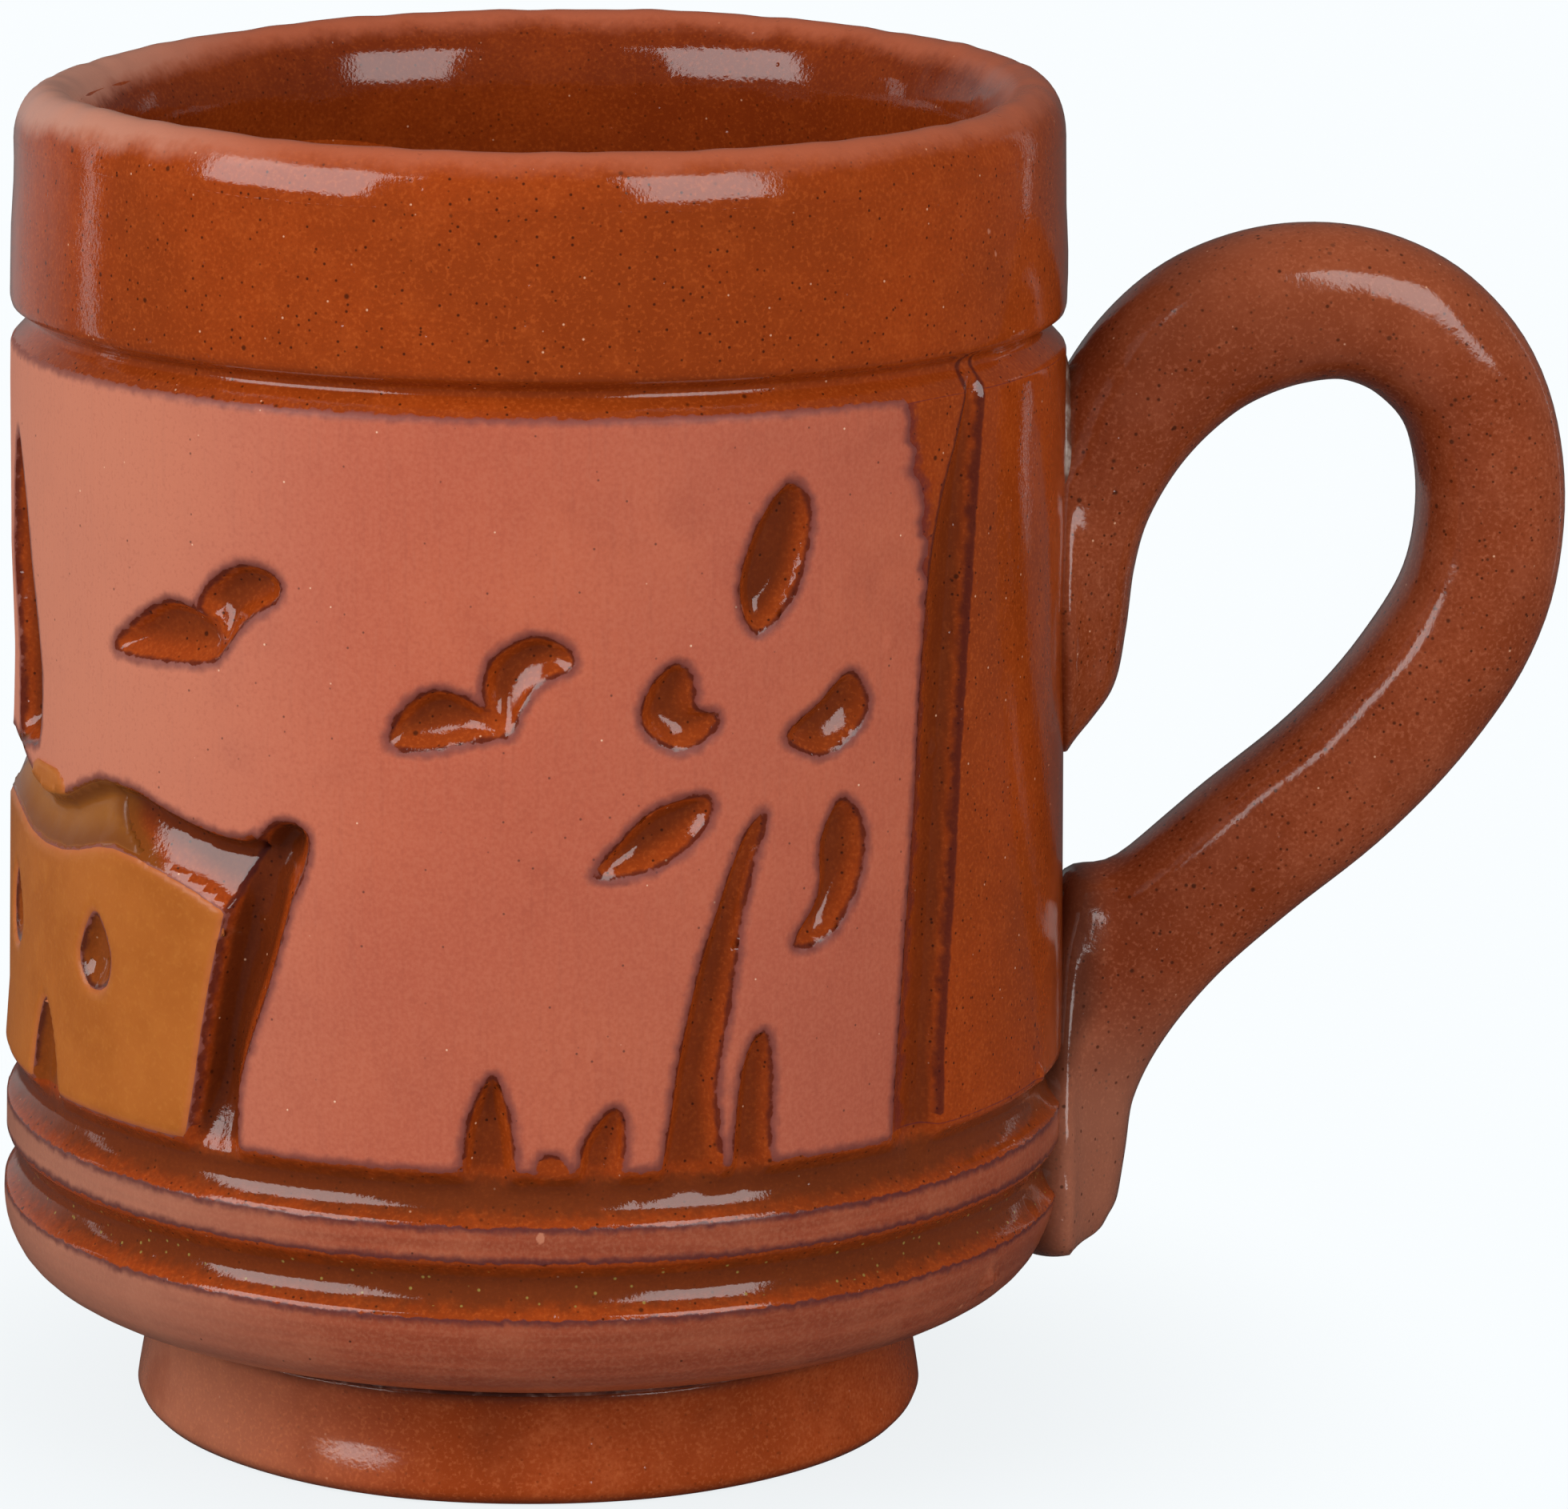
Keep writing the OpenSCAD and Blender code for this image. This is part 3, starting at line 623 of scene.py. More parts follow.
# How far each point is from a cut's edge, from the glaze's side edges, and from the middle of each groove
by_cut, by_field, in_low_groove, in_high_groove = [
    add(tree, "ShaderNodeMath", {0: add(tree, "ShaderNodeMath", {0: value, 1: level}, operation="SUBTRACT")
        .outputs[0]}, operation="ABSOLUTE").outputs[0]
    for value, level in ((cut_edge, 0.05), (field_edge, 0.2), (height, low_groove_middle),
                         (height, high_groove_middle))]
by_groove = add(tree, "ShaderNodeMapRange", {0: height, 1: panel_z + 1.2, 2: panel_z - 0.2, 3: 0,
                4: 3}).outputs[0]
in_groove = add(tree, "ShaderNodeMath", {0: in_low_groove, 1: in_high_groove},
                operation="MINIMUM").outputs[0]
in_groove = relief(tree, (in_groove, 1.0), (fray, 1.6))
# Painted glints: golden specks in the low groove
painted_groove_glints = add(tree, "ShaderNodeMath", {0: specks(tree, where, 0.7, 0.16, 0.4),
             1: add(tree, "ShaderNodeMath", {0: in_low_groove, 1: 1.4}, operation="LESS_THAN").outputs[0]},
             operation="MULTIPLY").outputs[0]
glaze_tone = layered(tree, glaze_tone, [
    (in_groove, 2.9, 1.5, 0.75, "5c2a12"),
    # painted glints in the low groove
    (painted_groove_glints, 0, 1, 0.8, "9a8440"),
    (ochre_stain, 2.6, 0.2, 0.7, "7a4414"),
    (relief(tree, (by_field, 1.0), (fray, 2.4)), 2.6, 1.3, 0.6, "54202a"),
    (relief(tree, (by_cut, 1.0), (fray, 0.4), (by_groove, 1.0)), 0.6, 0.3, 0.7, "3a1216")])
# Painted sheen: the clay and the wash are painted paler towards the left, where the light and its sheen fall
left_painted_sheen = add(tree, "ShaderNodeSeparateXYZ", {0: where}).outputs["X"]
left_painted_sheen = add(tree, "ShaderNodeMapRange", {0: left_painted_sheen, 1: -12, 2: -38}).outputs[0]
bare = layered(tree, "b8583c", [
    (broad, 0.35, 0.65, 1.0, "c06040"),
    (smudge, 0.52, 0.8, 0.5, "a94c32"),
    (strokes, 0.5, 0.8, 0.4, "a94f36"),
    # painted sheen, paler towards the left
    (left_painted_sheen, 0, 1, 0.5, "d48e72"),
    (height, 60, 34, 0.35, "a44e36"),
    (grain, 0.4, 0.7, 0.2, "ca785a"),
    (grain, 0.45, 0.3, 0.2, "a04a33"),
    (specks(tree, where, 1.1, 0.13, 0.3), 0, 1, 0.75, "56281c"),
    (specks(tree, where, 1.6, 0.11, 0.3), 0, 1, 0.85, "f0c4a4"),
    (relief(tree, (by_field, 1.0), (smudge, 2.4)), 2.4, 1.2, 0.55, "7c3a34"),
    (edge, 1.25, 0.5, 0.75, "6d302c")])
wash = layered(tree, "8e3e24", [
    (wheel_lines, 0.35, 0.7, 0.8, "a04c30"),
    (smudge, 0.45, 0.75, 0.6, "aa5c3e"),
    (grain, 0.4, 0.7, 0.3, "b26c4e"),
    # painted sheen, paler towards the left
    (left_painted_sheen, 0, 1, 0.5, "ba846c"),
    (specks(tree, where, 1.5, 0.14, 0.35), 0, 1, 0.8, speck_dark),
    (specks(tree, where, 6.0, 0.4, 0.12), 0, 1, 0.8, "c47a58"),
    (edge, 1.15, 0.5, 0.8, "4d1f24")])
tone = layered(tree, bare, [(washed, 0, 1, 1, wash), (glazed, 0, 1, 1, glaze_tone)])
# Chips in the glaze, down to the clay: where each is, and its radius in mm
chips = [((-18.6, -35.4, 93.4), 0.3), ((-15.7, -36.8, 94.2), 0.2), ((-3.4, -39.8, 91.6), 0.25),
         ((31.0, -25.2, 95.6), 0.25), ((31.6, -24.6, 93.7), 0.2), ((-2.6, -41.4, 24.4), 0.42)]
for chip_place, chip_r in chips:
    off = add(tree, "ShaderNodeVectorMath", {0: where, 1: chip_place}, operation="DISTANCE").outputs["Value"]
    off = relief(tree, (off, 1.0), (fray, 1.2))
    tone = layered(tree, tone, [(off, chip_r + 0.65, chip_r + 0.45, 0.8, "c47c5e")])
dry = add(tree, "ShaderNodeMapRange", {0: washed, 1: 0, 2: 1, 3: 0.55, 4: 0.3}).outputs[0]
shine = add(tree, "ShaderNodeMix", {0: glazed, 2: dry, 3: glaze_roughness}).outputs[0]
clay_height = relief(tree, (grain, 0.015), (strokes, 0.025), (smudge, 0.06))
skin = add(tree, "ShaderNodeMix", {0: glazed, 2: clay_height, 3: glaze_height}).outputs[0]
coated(tree, tone, shine, skin, glaze_mirror)

belly_rows = foot_h + (low_groove_z - foot_h) * (1 - np.cos(np.linspace(0, 1.57, 25)))
notch_r = rim_r - notch_depth
outside = ([(seat_r - 0.6, foot_h)] + [(belly_radius(z), z) for z in belly_rows]
           + hollow(low_groove_z, ridge_z, groove_depth, 16)
           + hollow(high_groove_z, panel_z, groove_depth, 16)
           + [(wall_radius(panel_top_z), panel_top_z), (notch_r + 0.5, notch_z - 0.5),
              (notch_r, notch_z), (notch_r, notch_z + 0.5),
              (rim_r - 0.15, band_z), (rim_r, band_z + 0.6), (rim_r, lip_z - 0.12)])
crest_r = rim_r - lip_out
under_lining = ([(rim_r - lining_t, lip_z)]
                + arc((crest_r, lip_z), lip_out - lining_t, lip_top - lip_z - lining_t, 30, 90, 2)
                + arc((crest_r, lip_top - lip_drop), lip_in - lining_t, lip_drop - lining_t, 110, 180, 3)
                + [(neck_r + lining_t, panel_top_z)]
                + arc((inner_r - heel_r, floor_z + heel_r), heel_r + lining_t, heel_r + lining_t, 0, -90, 3)
                + [(0, floor_z - lining_t)])
# How far apart the rows are at each height: close in the grooves and the notch, wide on the band
row_gaps = ([foot_h, 15, 17.5, 28.6, 30, 83, 84, 87.8, 90, 100, lip_z],
            [0.9, 0.8, 0.4, 0.4, row_gap, row_gap, 0.3, 0.3, 1.8, 1.8, 0.8])
profile = ([(0, foot_h), (14, foot_h), (24, foot_h)] + softened(outside, row_gaps, corner_soft)
           + [(rim_r, lip_z)] + under_lining)
spans = [(scene_left, seen_left, far_step), (seen_left, scene_right, seen_step),
         (scene_right, scene_left + 360, plain_step)]
mesh = turned(profile, [(start - scene_turn, end - scene_turn, round((end - start) / step))
                        for start, end, step in spans])
cup = finished("thrown_cup", mesh, cup_clay)
carve(cup.data)
mesh = bmesh.new()
mesh.from_mesh(cup.data)
on_outline = mesh.verts.layers.float["on_outline"]
cut_edge = mesh.verts.layers.float["cut_edge"]
hollow_edge = mesh.verts.layers.float["hollow_edge"]
bmesh.ops.connect_verts(mesh, verts=[v for v in mesh.verts if v[on_outline] > 0.5])
# The wall is smoothed twice beside each edge, and six times in the hollow, as with a wet finger
finger_reach = 1.2
off_outline = [v for v in mesh.verts if v[on_outline] < 0.5]
beside = [v for v in off_outline if min(abs(v[cut_edge]), abs(v[hollow_edge])) < finger_reach]
in_hollow = [v for v in off_outline if v[hollow_edge] < -0.05]
for smoothed in [beside] * 2 + [in_hollow] * 6:
    bmesh.ops.smooth_vert(mesh, verts=smoothed, factor=0.5, use_axis_x=True, use_axis_y=True,
                          use_axis_z=True)
mesh.to_mesh(cup.data)
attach(cup, "root")
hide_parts("cup_body")

# The engobe.
# It is a coat of ochre clay slip, brushed on the hut's front before the firing. It follows the carved
# surface that it lies on, is thick in its middle and runs out thin at its edges and at each cut.
engobe_t = 0.18
edge_slope = 0.5
edge_dip = 0.24
sunk = 0.3
engobe_edge = mesh.verts.layers.float["engobe_edge"]
bare_faces = [f for f in mesh.faces if any(v[engobe_edge] > 0.01 for v in f.verts)]
bmesh.ops.delete(mesh, geom=bare_faces, context="FACES")
mesh.normal_update()
under = mesh.faces[:]
normals = {v: v.normal.copy() for v in mesh.verts}
made = bmesh.ops.extrude_face_region(mesh, geom=under, use_keep_orig=True)["geom"]
for vertex in [v for v in made if isinstance(v, bmesh.types.BMVert)]:
    vertex.co += vertex.normal * min(engobe_t, edge_slope * -vertex[engobe_edge] - edge_dip) * mm
for vertex, normal in normals.items():
    vertex.co -= normal * sunk * mm
bmesh.ops.reverse_faces(mesh, faces=under)
bmesh.ops.recalc_face_normals(mesh, faces=mesh.faces)

# Ochre slip under a thin glaze: soft, even and satin. Its edges are painted paler, a painted highlight on
# their rounded rims, and it is browner in the hollow, partly where the glaze over it pools and partly as
# painted shade.
ochre, tree, where, (broad, brush, grain) = new_finish("brushed_ochre_engobe", (9, 4), (1.8, 3), (0.4, 2))
edge, hollow_edge = [add(tree, "ShaderNodeAttribute", attribute_name=name).outputs["Fac"]
                     for name in ("engobe_edge", "hollow_edge")]
in_hollow = add(tree, "ShaderNodeMapRange", {0: hollow_edge, 1: 0.1, 2: -0.3}).outputs[0]
edge_band = add(tree, "ShaderNodeMapRange", {0: edge, 1: -1.15, 2: -0.45}).outputs[0]
run_out = add(tree, "ShaderNodeMapRange", {0: edge, 1: -2.95, 2: -0.45}).outputs[0]
run_out = add(tree, "ShaderNodeMath", {0: run_out, 1: in_hollow}, operation="MULTIPLY").outputs[0]
# painted highlight: the rounded edges are painted paler
rim = add(tree, "ShaderNodeMath", {0: edge_band, 1: in_hollow}, operation="SUBTRACT").outputs[0]
tone = layered(tree, "a85a1a", [
    (broad, 0.35, 0.65, 0.9, "b46422"),
    (brush, 0.45, 0.75, 0.3, "bb6e28"),
    (grain, 0.5, 0.75, 0.25, "c47a34"),
    # painted highlight along the edges
    (rim, 0.1, 1.0, 0.6, "c0683a"),
    # browner in the hollow, partly pooled glaze and partly painted shade
    (in_hollow, 0, 1, 0.65, "8a561a"),
    (run_out, 0.0, 1.0, 1.0, "7c4216"),
    (specks(tree, where, 1.6, 0.09, 0.3), 0, 1, 0.6, "6a3a12"),
    (specks(tree, where, 3.1, 0.11, 0.25), 0, 1, 0.7, "f0c084")])
shine = add(tree, "ShaderNodeMix", {0: in_hollow, 2: 0.36, 3: 0.24}).outputs[0]
coated(tree, tone, shine, relief(tree, (brush, 0.03), (grain, 0.008)), 0.25)
engobe = finished("hut_engobe_coat", mesh, ochre)
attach(engobe, "root")
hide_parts("hut_engobe")

# The lining.
# It is the same amber glaze, poured in, swilled round and wiped over the lip. It seals the clay.
lining_steps = 300
lining_finish, tree, where, (wiped, fray) = new_finish("poured_amber_glaze", (5, 4), (0.7, 4))
# Painted shade: the inside's amber is painted darker than the outside's
inside_tone_painted_shade, inside_height = amber_glaze(tree, where, "70280b", "86340d", "984216", freckled=0.7)
outside_tone = amber_glaze(tree, where, *outside_amber)[0]
lip_gap, outer_side = [add(tree, "ShaderNodeAttribute", attribute_name=name).outputs["Fac"]
                       for name in ("lip_gap", "outer_side")]
across = add(tree, "ShaderNodeSeparateXYZ", {0: where}).outputs["X"]
# Painted sheen: towards the left the lip is painted paler and pinker
lip_left_sheen_side = add(tree, "ShaderNodeMapRange", {0: across, 1: -18, 2: -38}).outputs[0]
lip_wear_and_left_sheen = relief(tree, (lip_gap, 1.0), (wiped, 1.8), (fray, 0.8), (lip_left_sheen_side, 1.1))
# The glaze runs off the lip's round edge and leaves it thin and paler, and the lip's left side is painted
# paler still as a painted sheen
lip_wear_and_left_sheen = add(tree, "ShaderNodeMapRange", {0: lip_wear_and_left_sheen, 1: -0.7, 2: 1.1}).outputs[0]
lip_left_painted_sheen = add(tree, "ShaderNodeMath", {0: lip_wear_and_left_sheen, 1: lip_left_sheen_side}, operation="MULTIPLY").outputs[0]
# painted sheen on the lip's left side
tone = layered(tree, inside_tone_painted_shade, [(outer_side, 0, 1, 1, outside_tone), (lip_wear_and_left_sheen, 0, 1, 0.8, "b45e40"),
                                   (lip_left_painted_sheen, 0, 1, 0.65, "cc9680")])
shine = add(tree, "ShaderNodeMix", {0: lip_wear_and_left_sheen, 2: glaze_roughness, 3: 0.24}).outputs[0]
coated(tree, tone, shine, inside_height, glaze_mirror)
# Inside, the lip slopes down from its crest and then turns sharply into the wall: mm in and mm down
lip_slope = [(0.33, 0.03), (0.8, 0.14), (1.3, 0.42), (1.75, 0.85), (2.15, 1.4), (2.55, 2.0), (2.9, 2.6),
             (3.17, 3.2), (3.38, 3.8), (3.53, 4.4), (3.63, 5.0), (3.7, 5.7), (3.75, 6.7), (3.79, 7.9),
             (3.8, 9.0)]
lip = ([(rim_r - 0.2, lip_z - 0.5), (rim_r - 0.006, lip_z - 0.2), (rim_r + 0.006, lip_z - 0.14)]
       + arc((crest_r, lip_z), lip_out, lip_top - lip_z, 0, 90, 10)
       + [(crest_r - across, lip_top - down) for across, down in lip_slope])
inner_wall = [(33.62, 92), (33.65, 88), (neck_r, panel_top_z), (33.95, 65), (34.2, 45)]
heel = arc((inner_r - heel_r, floor_z + heel_r), heel_r, heel_r, 0, -90, 12)
pool = [(18, floor_z), (9, floor_z), (0, floor_z)]
lining_profile = under_lining[::-1] + lip + inner_wall + heel + pool
lining = finished("glaze_lining", turned(lining_profile, [(0, 360, lining_steps)]), lining_finish)
co = coordinates(lining.data)
angle = angle_on_cup(co)
radius = from_axis(co)
stray = handmade(angle, co[:, 2]) * (co[:, 2] > floor_z + heel_r)
co[:, :2] *= (1 + stray / np.maximum(radius, 1))[:, None]
mark(lining.data, "lip_gap", co[:, 2] - lip_top)
mark(lining.data, "outer_side", (radius - crest_r) / 0.6)
co[:, 2] += lip_wave(angle, co[:, 2])
set_points(lining.data, co)
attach(lining, "root")
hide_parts("lining_glaze")

# The foot.
# It is a ring of the same clay, thrown apart and luted under the belly, then dipped in the glaze.
# Its outer side stands a little to the left of the cup's axis, as the cup slumped that way.
foot_steps = 220
foot_outside = 28.7
foot_profile = [(24.2, foot_h - 0.4), (24.2, 0.7), (24.7, 0.2), (25.3, 0), (28.9, 0), (29.6, 0.05),
                (30.2, 0.28), (30.6, 0.7), (30.8, 1.2), (30.72, 1.8), (30.6, 2.5), (30.48, 3.2), (30.36, 3.9),
                (30.25, 4.6), (30.15, 5.3), (30.08, 6.0), (30.05, 6.8), (30.3, 8.0), (30.6, foot_h - 0.4),
                (24.2, foot_h - 0.4)]
foot_finish, tree, where, (run,) = new_finish("dipped_amber_glaze", (7, 3))
# Painted light: the foot's amber is painted lighter than the band's, against the shade under the belly
tone, skin = amber_glaze(tree, where, "963c14", "b04c20", "c46636", freckled=0.35)
across, height = [add(tree, "ShaderNodeSeparateXYZ", {0: where}).outputs[axis] for axis in "XZ"]
# The glaze runs down and thickens above the foot's edge, and one side is painted paler as a painted sheen
tone = layered(tree, tone, [
    (across, -8, -32, 0.45, "c88c70"),
    (run, 0.5, 0.72, 0.35, "7a3012"),
    (height, 1.4, 0.2, 0.45, pooled),
    (height, 7.5, 9.0, 0.5, "4a1d12")])
coated(tree, tone, 0.12, skin, glaze_mirror)
foot = finished("foot_ring_glazed", turned(foot_profile, [(0, 360, foot_steps)]), foot_finish)
co = coordinates(foot.data)
t = np.arctan2(co[:, 1], co[:, 0])
stray = 0.12 * np.sin(2 * t + 2) + 0.08 * np.sin(5 * t) + 0.05 * np.sin(9 * t + 1)
stray -= foot_shift * np.cos(t)
# A thumb has left a shallow dent in front
stray -= 0.6 * np.exp(-((angle_on_cup(co) + 27) / 10) ** 2 - ((co[:, 2] - 5) / 2.2) ** 2)
co[:, :2] *= (1 + np.where(from_axis(co) > foot_outside, stray, 0) / 30)[:, None]
set_points(foot.data, co)
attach(foot, "root")
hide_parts("foot_ring")

# The slip under the cup.
# It is wet clay that glues the foot to the belly. A little is squeezed out, and glaze pools on it.
slip_finish, tree, where, (broad, grain) = new_finish("squeezed_slip_with_pooled_glaze", (4, 3), (0.7, 3))
tone = layered(tree, "4a2016", [
    (broad, 0.4, 0.65, 0.9, "7a4233"),
    (grain, 0.5, 0.7, 0.5, "9a7468")])
coated(tree, tone, 0.16, relief(tree, (grain, 0.08)), glaze_mirror)
bead_profile = [(26, foot_h - 0.45), (30.9, foot_h - 0.45), (31.25, foot_h - 0.35), (31.4, foot_h - 0.15),
                (31.3, foot_h + 0.05), (26, foot_h + 0.05), (26, foot_h - 0.45)]
bead = finished("foot_luting_slip", turned(bead_profile, [(0, 360, foot_steps)]), slip_finish)
co = coordinates(bead.data)
co[:, 0] -= np.where(from_axis(co) > foot_outside, foot_shift, 0)
set_points(bead.data, co)
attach(bead, "root")
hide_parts("foot_joint_slip")

# The handle.
# It is a rolled coil of clay, bent to an ear. Its upper end is smeared on to the wall with a thumb,
# and its lower end is pressed flat across the grooves and the belly.
handle_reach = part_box("handle")[1].x / mm + 0.1
handle_low_z = 13.0
handle_top_z = 86.7
coil_t = 12.0
coil_w = 12.4
sides = 56
# Share of the way out from the wall, share of the height, then shares of the thickness and width
route = np.array([
    (0, 0.525, 0.1, 0.3), (0, 0.54, 0.2, 0.5), (0.004, 0.567, 0.43, 0.78), (0.012, 0.605, 0.66, 0.98),
    (0.017, 0.66, 0.76, 1.05), (0.03, 0.73, 0.8, 1.05), (0.063, 0.797, 0.85, 1.03), (0.133, 0.868, 0.95, 1),
    (0.234, 0.928, 1.03, 1), (0.354, 0.97, 1.06, 1), (0.514, 0.995, 1.04, 1), (0.68, 0.995, 0.99, 1),
    (0.834, 0.962, 0.97, 1), (0.953, 0.895, 0.95, 1), (1.0, 0.794, 0.96, 1), (0.971, 0.685, 0.98, 1),
    (0.852, 0.586, 1, 1), (0.667, 0.491, 1, 1), (0.433, 0.404, 1, 1), (0.243, 0.326, 0.98, 1),
    (0.102, 0.239, 0.93, 1), (0.022, 0.163, 0.92, 1.03), (-0.012, 0.09, 0.95, 1.12),
    (-0.03, 0.035, 0.93, 1.16), (-0.028, 0.003, 0.76, 1.05), (-0.024, -0.013, 0.4, 0.65),
    (-0.022, -0.017, 0.1, 0.2)])


def along_route(rows, steps):
    """A smooth curve through the rows of an open table."""
    p = np.concatenate([2 * rows[:1] - rows[1:2], rows, 2 * rows[-1:] - rows[-2:-1]])
    return np.concatenate([curve_through(p[:-3], p[1:-2], p[2:-1], p[3:], steps), rows[-1:]])


shares = along_route(route, 7)
middle_z = handle_low_z + (handle_top_z - handle_low_z) * shares[:, 1]
far_x = handle_reach - coil_t / 2
middle_x = wall_radius(middle_z) + (far_x - wall_radius(middle_z)) * shares[:, 0]
run_x, run_z = np.gradient(middle_x), np.gradient(middle_z)
length = np.hypot(run_x, run_z)
run_x, run_z = run_x / length, run_z / length
mesh = bmesh.new()
before = None
for x, z, dx, dz, thick, wide in zip(middle_x, middle_z, run_x, run_z, shares[:, 2], shares[:, 3]):
    place = Matrix(((dz * thick * coil_t / 2, 0, dx, x), (0, wide * coil_w / 2, 0, 0),
                    (-dx * thick * coil_t / 2, 0, dz, z), (0, 0, 0, 1 / mm))) * mm
    if before is None:
        bmesh.ops.create_circle(mesh, cap_ends=True, radius=1, segments=sides, matrix=place)
        edges = mesh.edges[:]
    else:
        made = bmesh.ops.extrude_edge_only(mesh, edges=edges)["geom"]
        edges = [e for e in made if isinstance(e, bmesh.types.BMEdge)]
        ring = [v for v in made if isinstance(v, bmesh.types.BMVert)]
        bmesh.ops.transform(mesh, matrix=place @ before.inverted(), verts=ring)
    before = place
bmesh.ops.contextual_create(mesh, geom=edges)
bmesh.ops.recalc_face_normals(mesh, faces=mesh.faces)

# Amber glaze on a wiped coil: it has run thin over the top, which looks matt and brick red there, and the top
# is also painted paler as painted light from above.
handle_finish, tree, where, (lumps,) = new_finish("amber_glaze_on_rolled_coil", (7, 3))
tone, skin = amber_glaze(tree, where, "803618", "9a4a2a", "b06242")
height = add(tree, "ShaderNodeSeparateXYZ", {0: where}).outputs["Z"]
root_corner_shade = add(tree, "ShaderNodeAttribute", attribute_name="root_corner_shade").outputs["Fac"]
tone = layered(tree, tone, [
    (lumps, 0.5, 0.7, 0.35, "a05438"),
    # thin glaze and painted light: the top is painted paler
    (height, 78, 92, 0.35, "a85c3c"),
    # painted sheen: the tail is painted paler and pinker
    (height, 36, 22, 0.5, "a8705a"),
    # painted shade in the corner by the wall
    (root_corner_shade, 4.0, 1.0, 0.7, "43241a"),
    (specks(tree, where, 1.0, 0.2, 0.5), 0, 1, 0.75, "3a180c")])
coated(tree, tone, 0.11, relief(tree, (skin, 1.0), (lumps, 0.15)), glaze_mirror)
handle = finished("coil_handle", mesh, handle_finish)
co = coordinates(handle.data)
proud = from_axis(co) - wall_radius(co[:, 2])
tongue = np.interp(co[:, 2], [50, 53, 64, 70, 76], [0.5, 0.6, 0.5, 0.3, 0]) * (co[:, 0] < 50)
tail = np.interp(co[:, 2], [9, 14, 22, 36], [0.08, 0.16, 0.14, 0]) * (co[:, 0] < 50)
co[:, 1] *= 1 + (tongue + tail) * np.exp(-np.clip(proud, 0, None) / 1.4)
# Slip fills the corner over the lower root
fillet_rise = 4.8
fillet_reach = 3.2
crotch = np.interp(co[:, 2], [28, 36, 44, 50], [0, 1, 1, 0])
co[:, 2] += fillet_rise * crotch * np.exp(-(np.clip(proud, 0, None) / fillet_reach) ** 2)
# The coil was pressed flatter on its two sides between the fingers
press = 0.2
co[:, 1] *= 1 + press * np.clip(1 - (co[:, 1] / (coil_w / 2 + 0.1)) ** 2, 0, 1)
# Painted shade: the corner between the lower root and the wall is painted dark
from_corner = proud + np.interp(co[:, 2], [25, 32, 44, 48], [4, 0, 0, 4])
mark(handle.data, "root_corner_shade", from_corner)
x, y, z = co.T.copy()
lump = (0.10 * np.sin(z * 0.31 + x * 0.2) + 0.08 * np.sin(x * 0.37 - z * 0.22 + 1)
        + 0.06 * np.sin(z * 0.83 + y * 0.5))
co[:, 1] += lump * np.sign(co[:, 1]) * np.clip(np.abs(co[:, 1]) / 4, 0, 1)
set_points(handle.data, co)
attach(handle, "root")
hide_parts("handle")

# The slip behind the handle.
# Two pads of wet clay join the coil's ends to the wall. They stand out a little all round as a pale,
# glassy bead, and fill the grooves behind the lower end.
pad_in = 1.6
pad_out = 0.65
# Each pad's name and node, its foot and top, and half its width at both
pads = [("upper_luting_slip", "upper_joint_slip", 51.9, 83.2, 6.6, 6.6),
        ("lower_luting_slip", "lower_joint_slip", 10.7, 40.8, 9.3, 7.2)]
bead_finish, tree, where, (broad, grain) = new_finish("pale_slip_bead_under_glaze", (2.5, 4), (0.6, 4))
tone = layered(tree, "6a4436", [
    (broad, 0.42, 0.62, 0.9, "a9968a"),
    (grain, 0.5, 0.7, 0.6, "5a3428")])
coated(tree, tone, 0.2, relief(tree, (grain, 0.1)), glaze_mirror)
for name, node, low, high, half_low, half_high in pads:
    mesh = bmesh.new()
    bmesh.ops.create_uvsphere(mesh, u_segments=120, v_segments=28, radius=1,
                              matrix=Matrix.Rotation(math.radians(90), 4, "Y"))
    pad = finished(name, mesh, bead_finish)
    co = coordinates(pad.data) * mm
    reach = np.hypot(co[:, 1], co[:, 2])
    turn = np.arctan2(co[:, 2], co[:, 1])
    spread = 1 + 0.03 * np.sin(3 * turn + low) + 0.02 * np.sin(8 * turn) + 0.012 * np.sin(17 * turn + 2)
    z = (low + high) / 2 + (high - low) / 2 * co[:, 2] * np.where(reach > 0, spread, 1) / 1.04
    y = co[:, 1] * spread * np.interp(z, [low, low + 8, high], [half_low, half_high, half_high])
    form = np.where(z < low_groove_z, belly_radius(z), wall_radius(z))
    stand = np.sqrt(np.clip(1 - reach ** 8, 0, 1)) * np.where(co[:, 0] > 0, pad_out, -pad_in)
    x = np.sqrt((form + stand) ** 2 - y ** 2)
    set_points(pad.data, np.stack([x, y, z], 1))
    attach(pad, "root")
    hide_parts(node)

# The floor and the light.
# A pale floor under two softboxes, with white behind the mug, as in a product photograph.
floor_r = 0.28
floor_finish, tree, where = new_finish("white_paper_sweep")[:3]
# Near the mug the paper takes its shadow, and farther out it runs into the white background
out = add(tree, "ShaderNodeVectorMath", {0: where}, operation="LENGTH").outputs["Value"]
sweep_white = (0.949, 0.983, 1, 1)
shown = add(tree, "ShaderNodeMapRange", {0: out, 1: 28, 2: 80, 3: 0.86, 4: 1},
            interpolation_type="SMOOTHSTEP")
rays = add(tree, "ShaderNodeLightPath").outputs
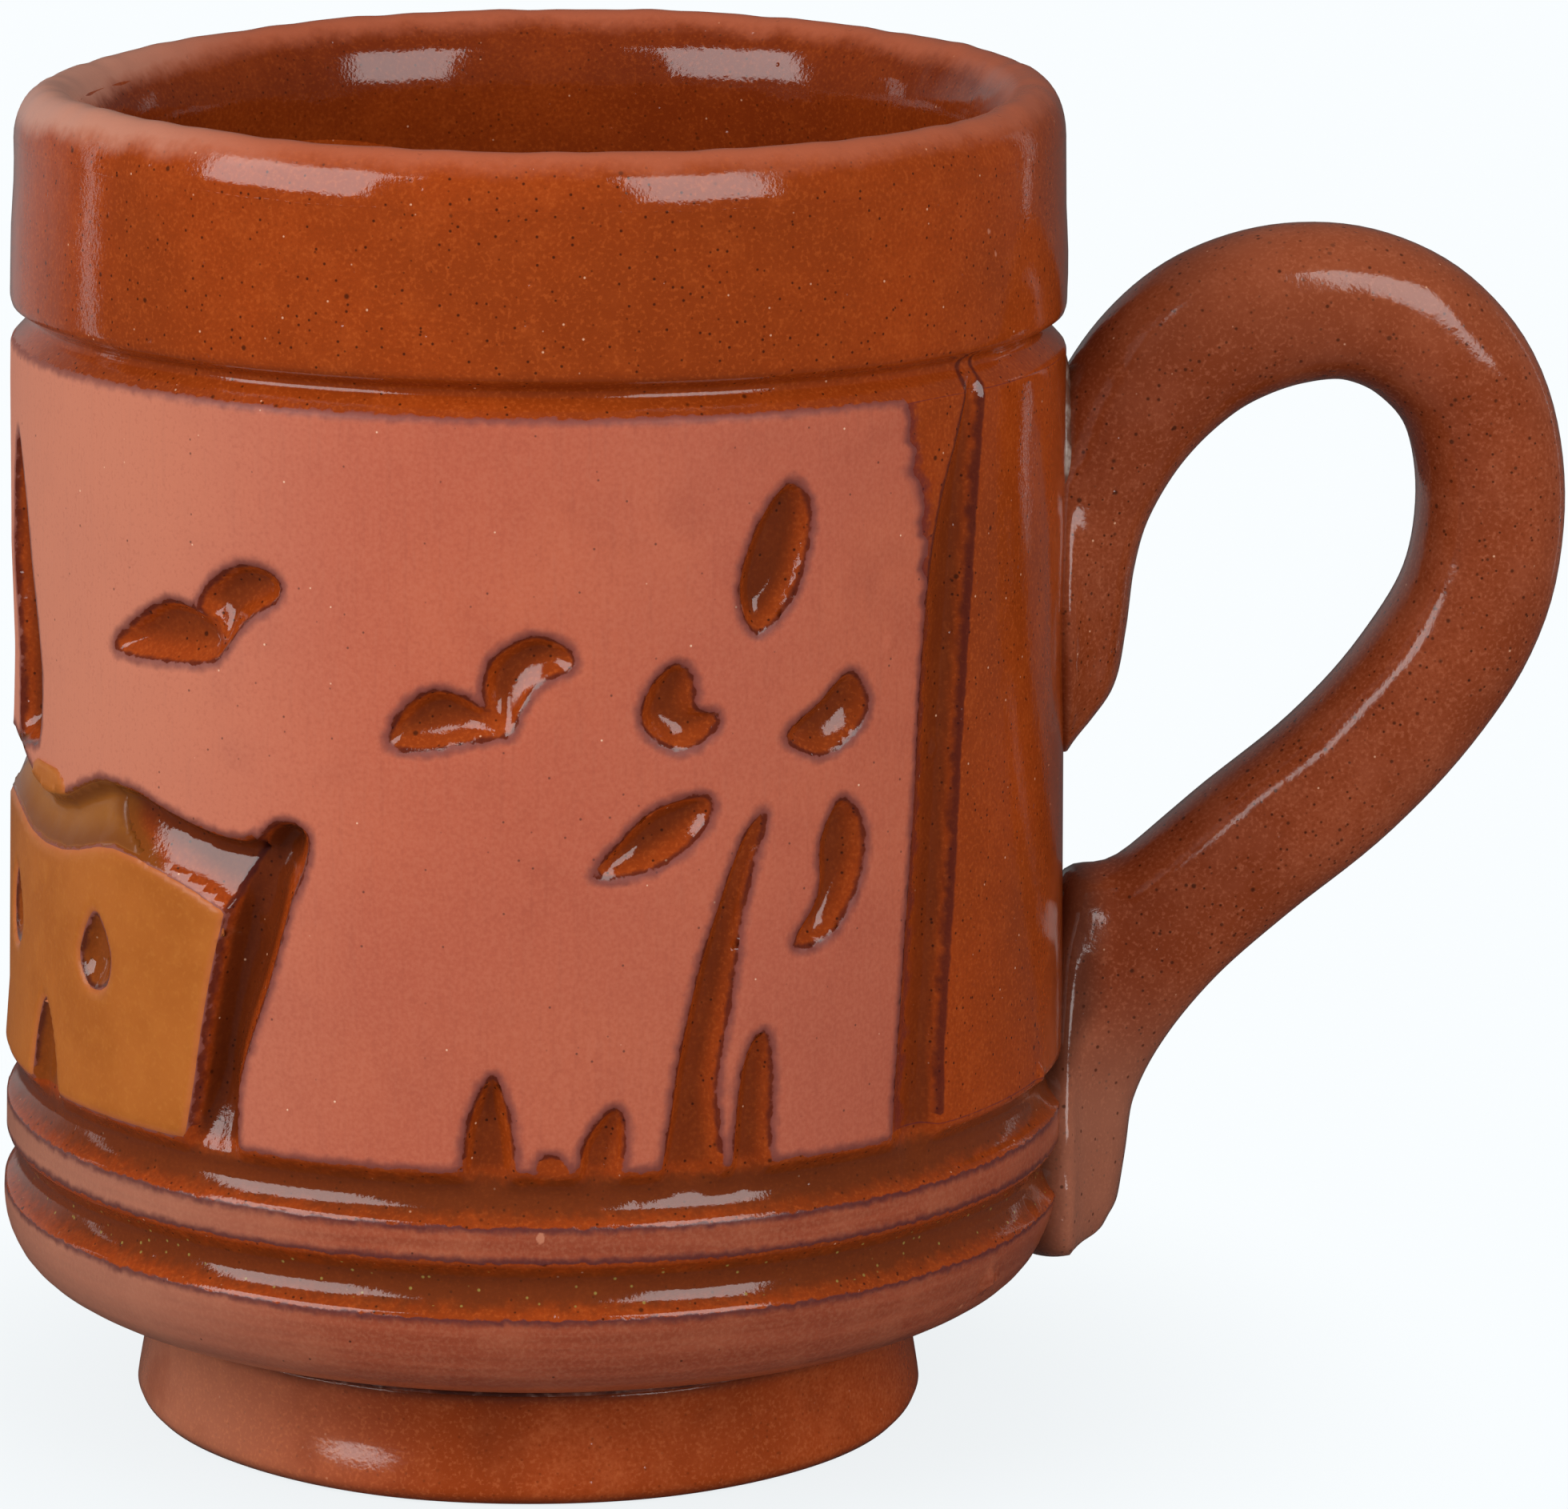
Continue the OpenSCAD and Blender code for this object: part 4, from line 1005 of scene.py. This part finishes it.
# The glaze mirrors the paper dimly, as through the polarising filter that such a photograph is taken with
dimmed = add(tree, "ShaderNodeMix", {0: rays["Is Glossy Ray"], 6: colour("c4c6c8"), 7: colour("4e4e50")},
             data_type="RGBA").outputs[2]
paper = add(tree, "ShaderNodeBsdfDiffuse", {"Color": dimmed})
glow = add(tree, "ShaderNodeEmission", {"Color": sweep_white, "Strength": 1.0})
shown = add(tree, "ShaderNodeMath", {0: rays["Is Camera Ray"], 1: shown.outputs[0]}, operation="MULTIPLY")
sweep = add(tree, "ShaderNodeMixShader", {0: shown.outputs[0], 1: paper.outputs[0], 2: glow.outputs[0]})
add(tree, "ShaderNodeOutputMaterial", {"Surface": sweep.outputs[0]})
mesh = bmesh.new()
bmesh.ops.create_circle(mesh, cap_ends=True, radius=floor_r, segments=128)
floor = finished("floor", mesh, floor_finish)

world = bpy.data.worlds.new("studio")
bpy.context.scene.world = world
world.use_nodes = True
tree = world.node_tree
tree.nodes.clear()
rays = add(tree, "ShaderNodeLightPath").outputs
mirrored_ray = add(tree, "ShaderNodeMath", {0: rays["Is Glossy Ray"], 1: rays["Is Transmission Ray"]},
                   operation="MAXIMUM").outputs[0]
# The white background stands behind the mug and to its left, and the rest of the room is dim
direction = add(tree, "ShaderNodeTexCoord").outputs["Generated"]
behind = add(tree, "ShaderNodeVectorMath", {0: direction, 1: (-0.5, 0.866, 0)},
             operation="DOT_PRODUCT").outputs["Value"]
room_light = 0.42
room_mirrored = 0.085
white_mirrored = 0.34
behind = add(tree, "ShaderNodeMapRange", {0: behind, 1: 0.86, 2: 0.97, 3: room_mirrored,
             4: white_mirrored}).outputs[0]
strength = add(tree, "ShaderNodeMix", {0: mirrored_ray, 2: room_light, 3: behind}).outputs[0]
strength = add(tree, "ShaderNodeMix", {0: rays["Is Camera Ray"], 2: strength, 3: 1.0}).outputs[0]
white = add(tree, "ShaderNodeBackground", {"Color": sweep_white, "Strength": strength})
add(tree, "ShaderNodeOutputWorld", {"Surface": white.outputs[0]})


lamp_distance = 0.9


def softbox(name, azimuth, elevation, width, height, watts):
    """A lamp that faces the mug's middle. Azimuth 0 is on the camera's side, and rises to the right."""
    lamp = bpy.data.lights.new(name, "AREA")
    lamp.shape = "RECTANGLE"
    lamp.size, lamp.size_y, lamp.energy = width, height, watts
    holder = bpy.data.objects.new(name, lamp)
    a, e = math.radians(azimuth), math.radians(elevation)
    back = Vector((math.sin(a) * math.cos(e), -math.cos(a) * math.cos(e), math.sin(e)))
    holder.location = back * lamp_distance + Vector((0, 0, aim_height))
    holder.rotation_mode = "QUATERNION"
    holder.rotation_quaternion = back.to_track_quat("Z", "Y")
    bpy.context.scene.collection.objects.link(holder)


softbox("left_softbox", -61, 29, 0.6, 0.54, 5.3)
softbox("right_softbox", 32.5, 29, 0.43, 0.54, 3.7)
softbox("left_strip", -115, 0, 0.06, 0.7, 0.18)
softbox("right_strip", 124, 0, 0.02, 0.7, 0.055)
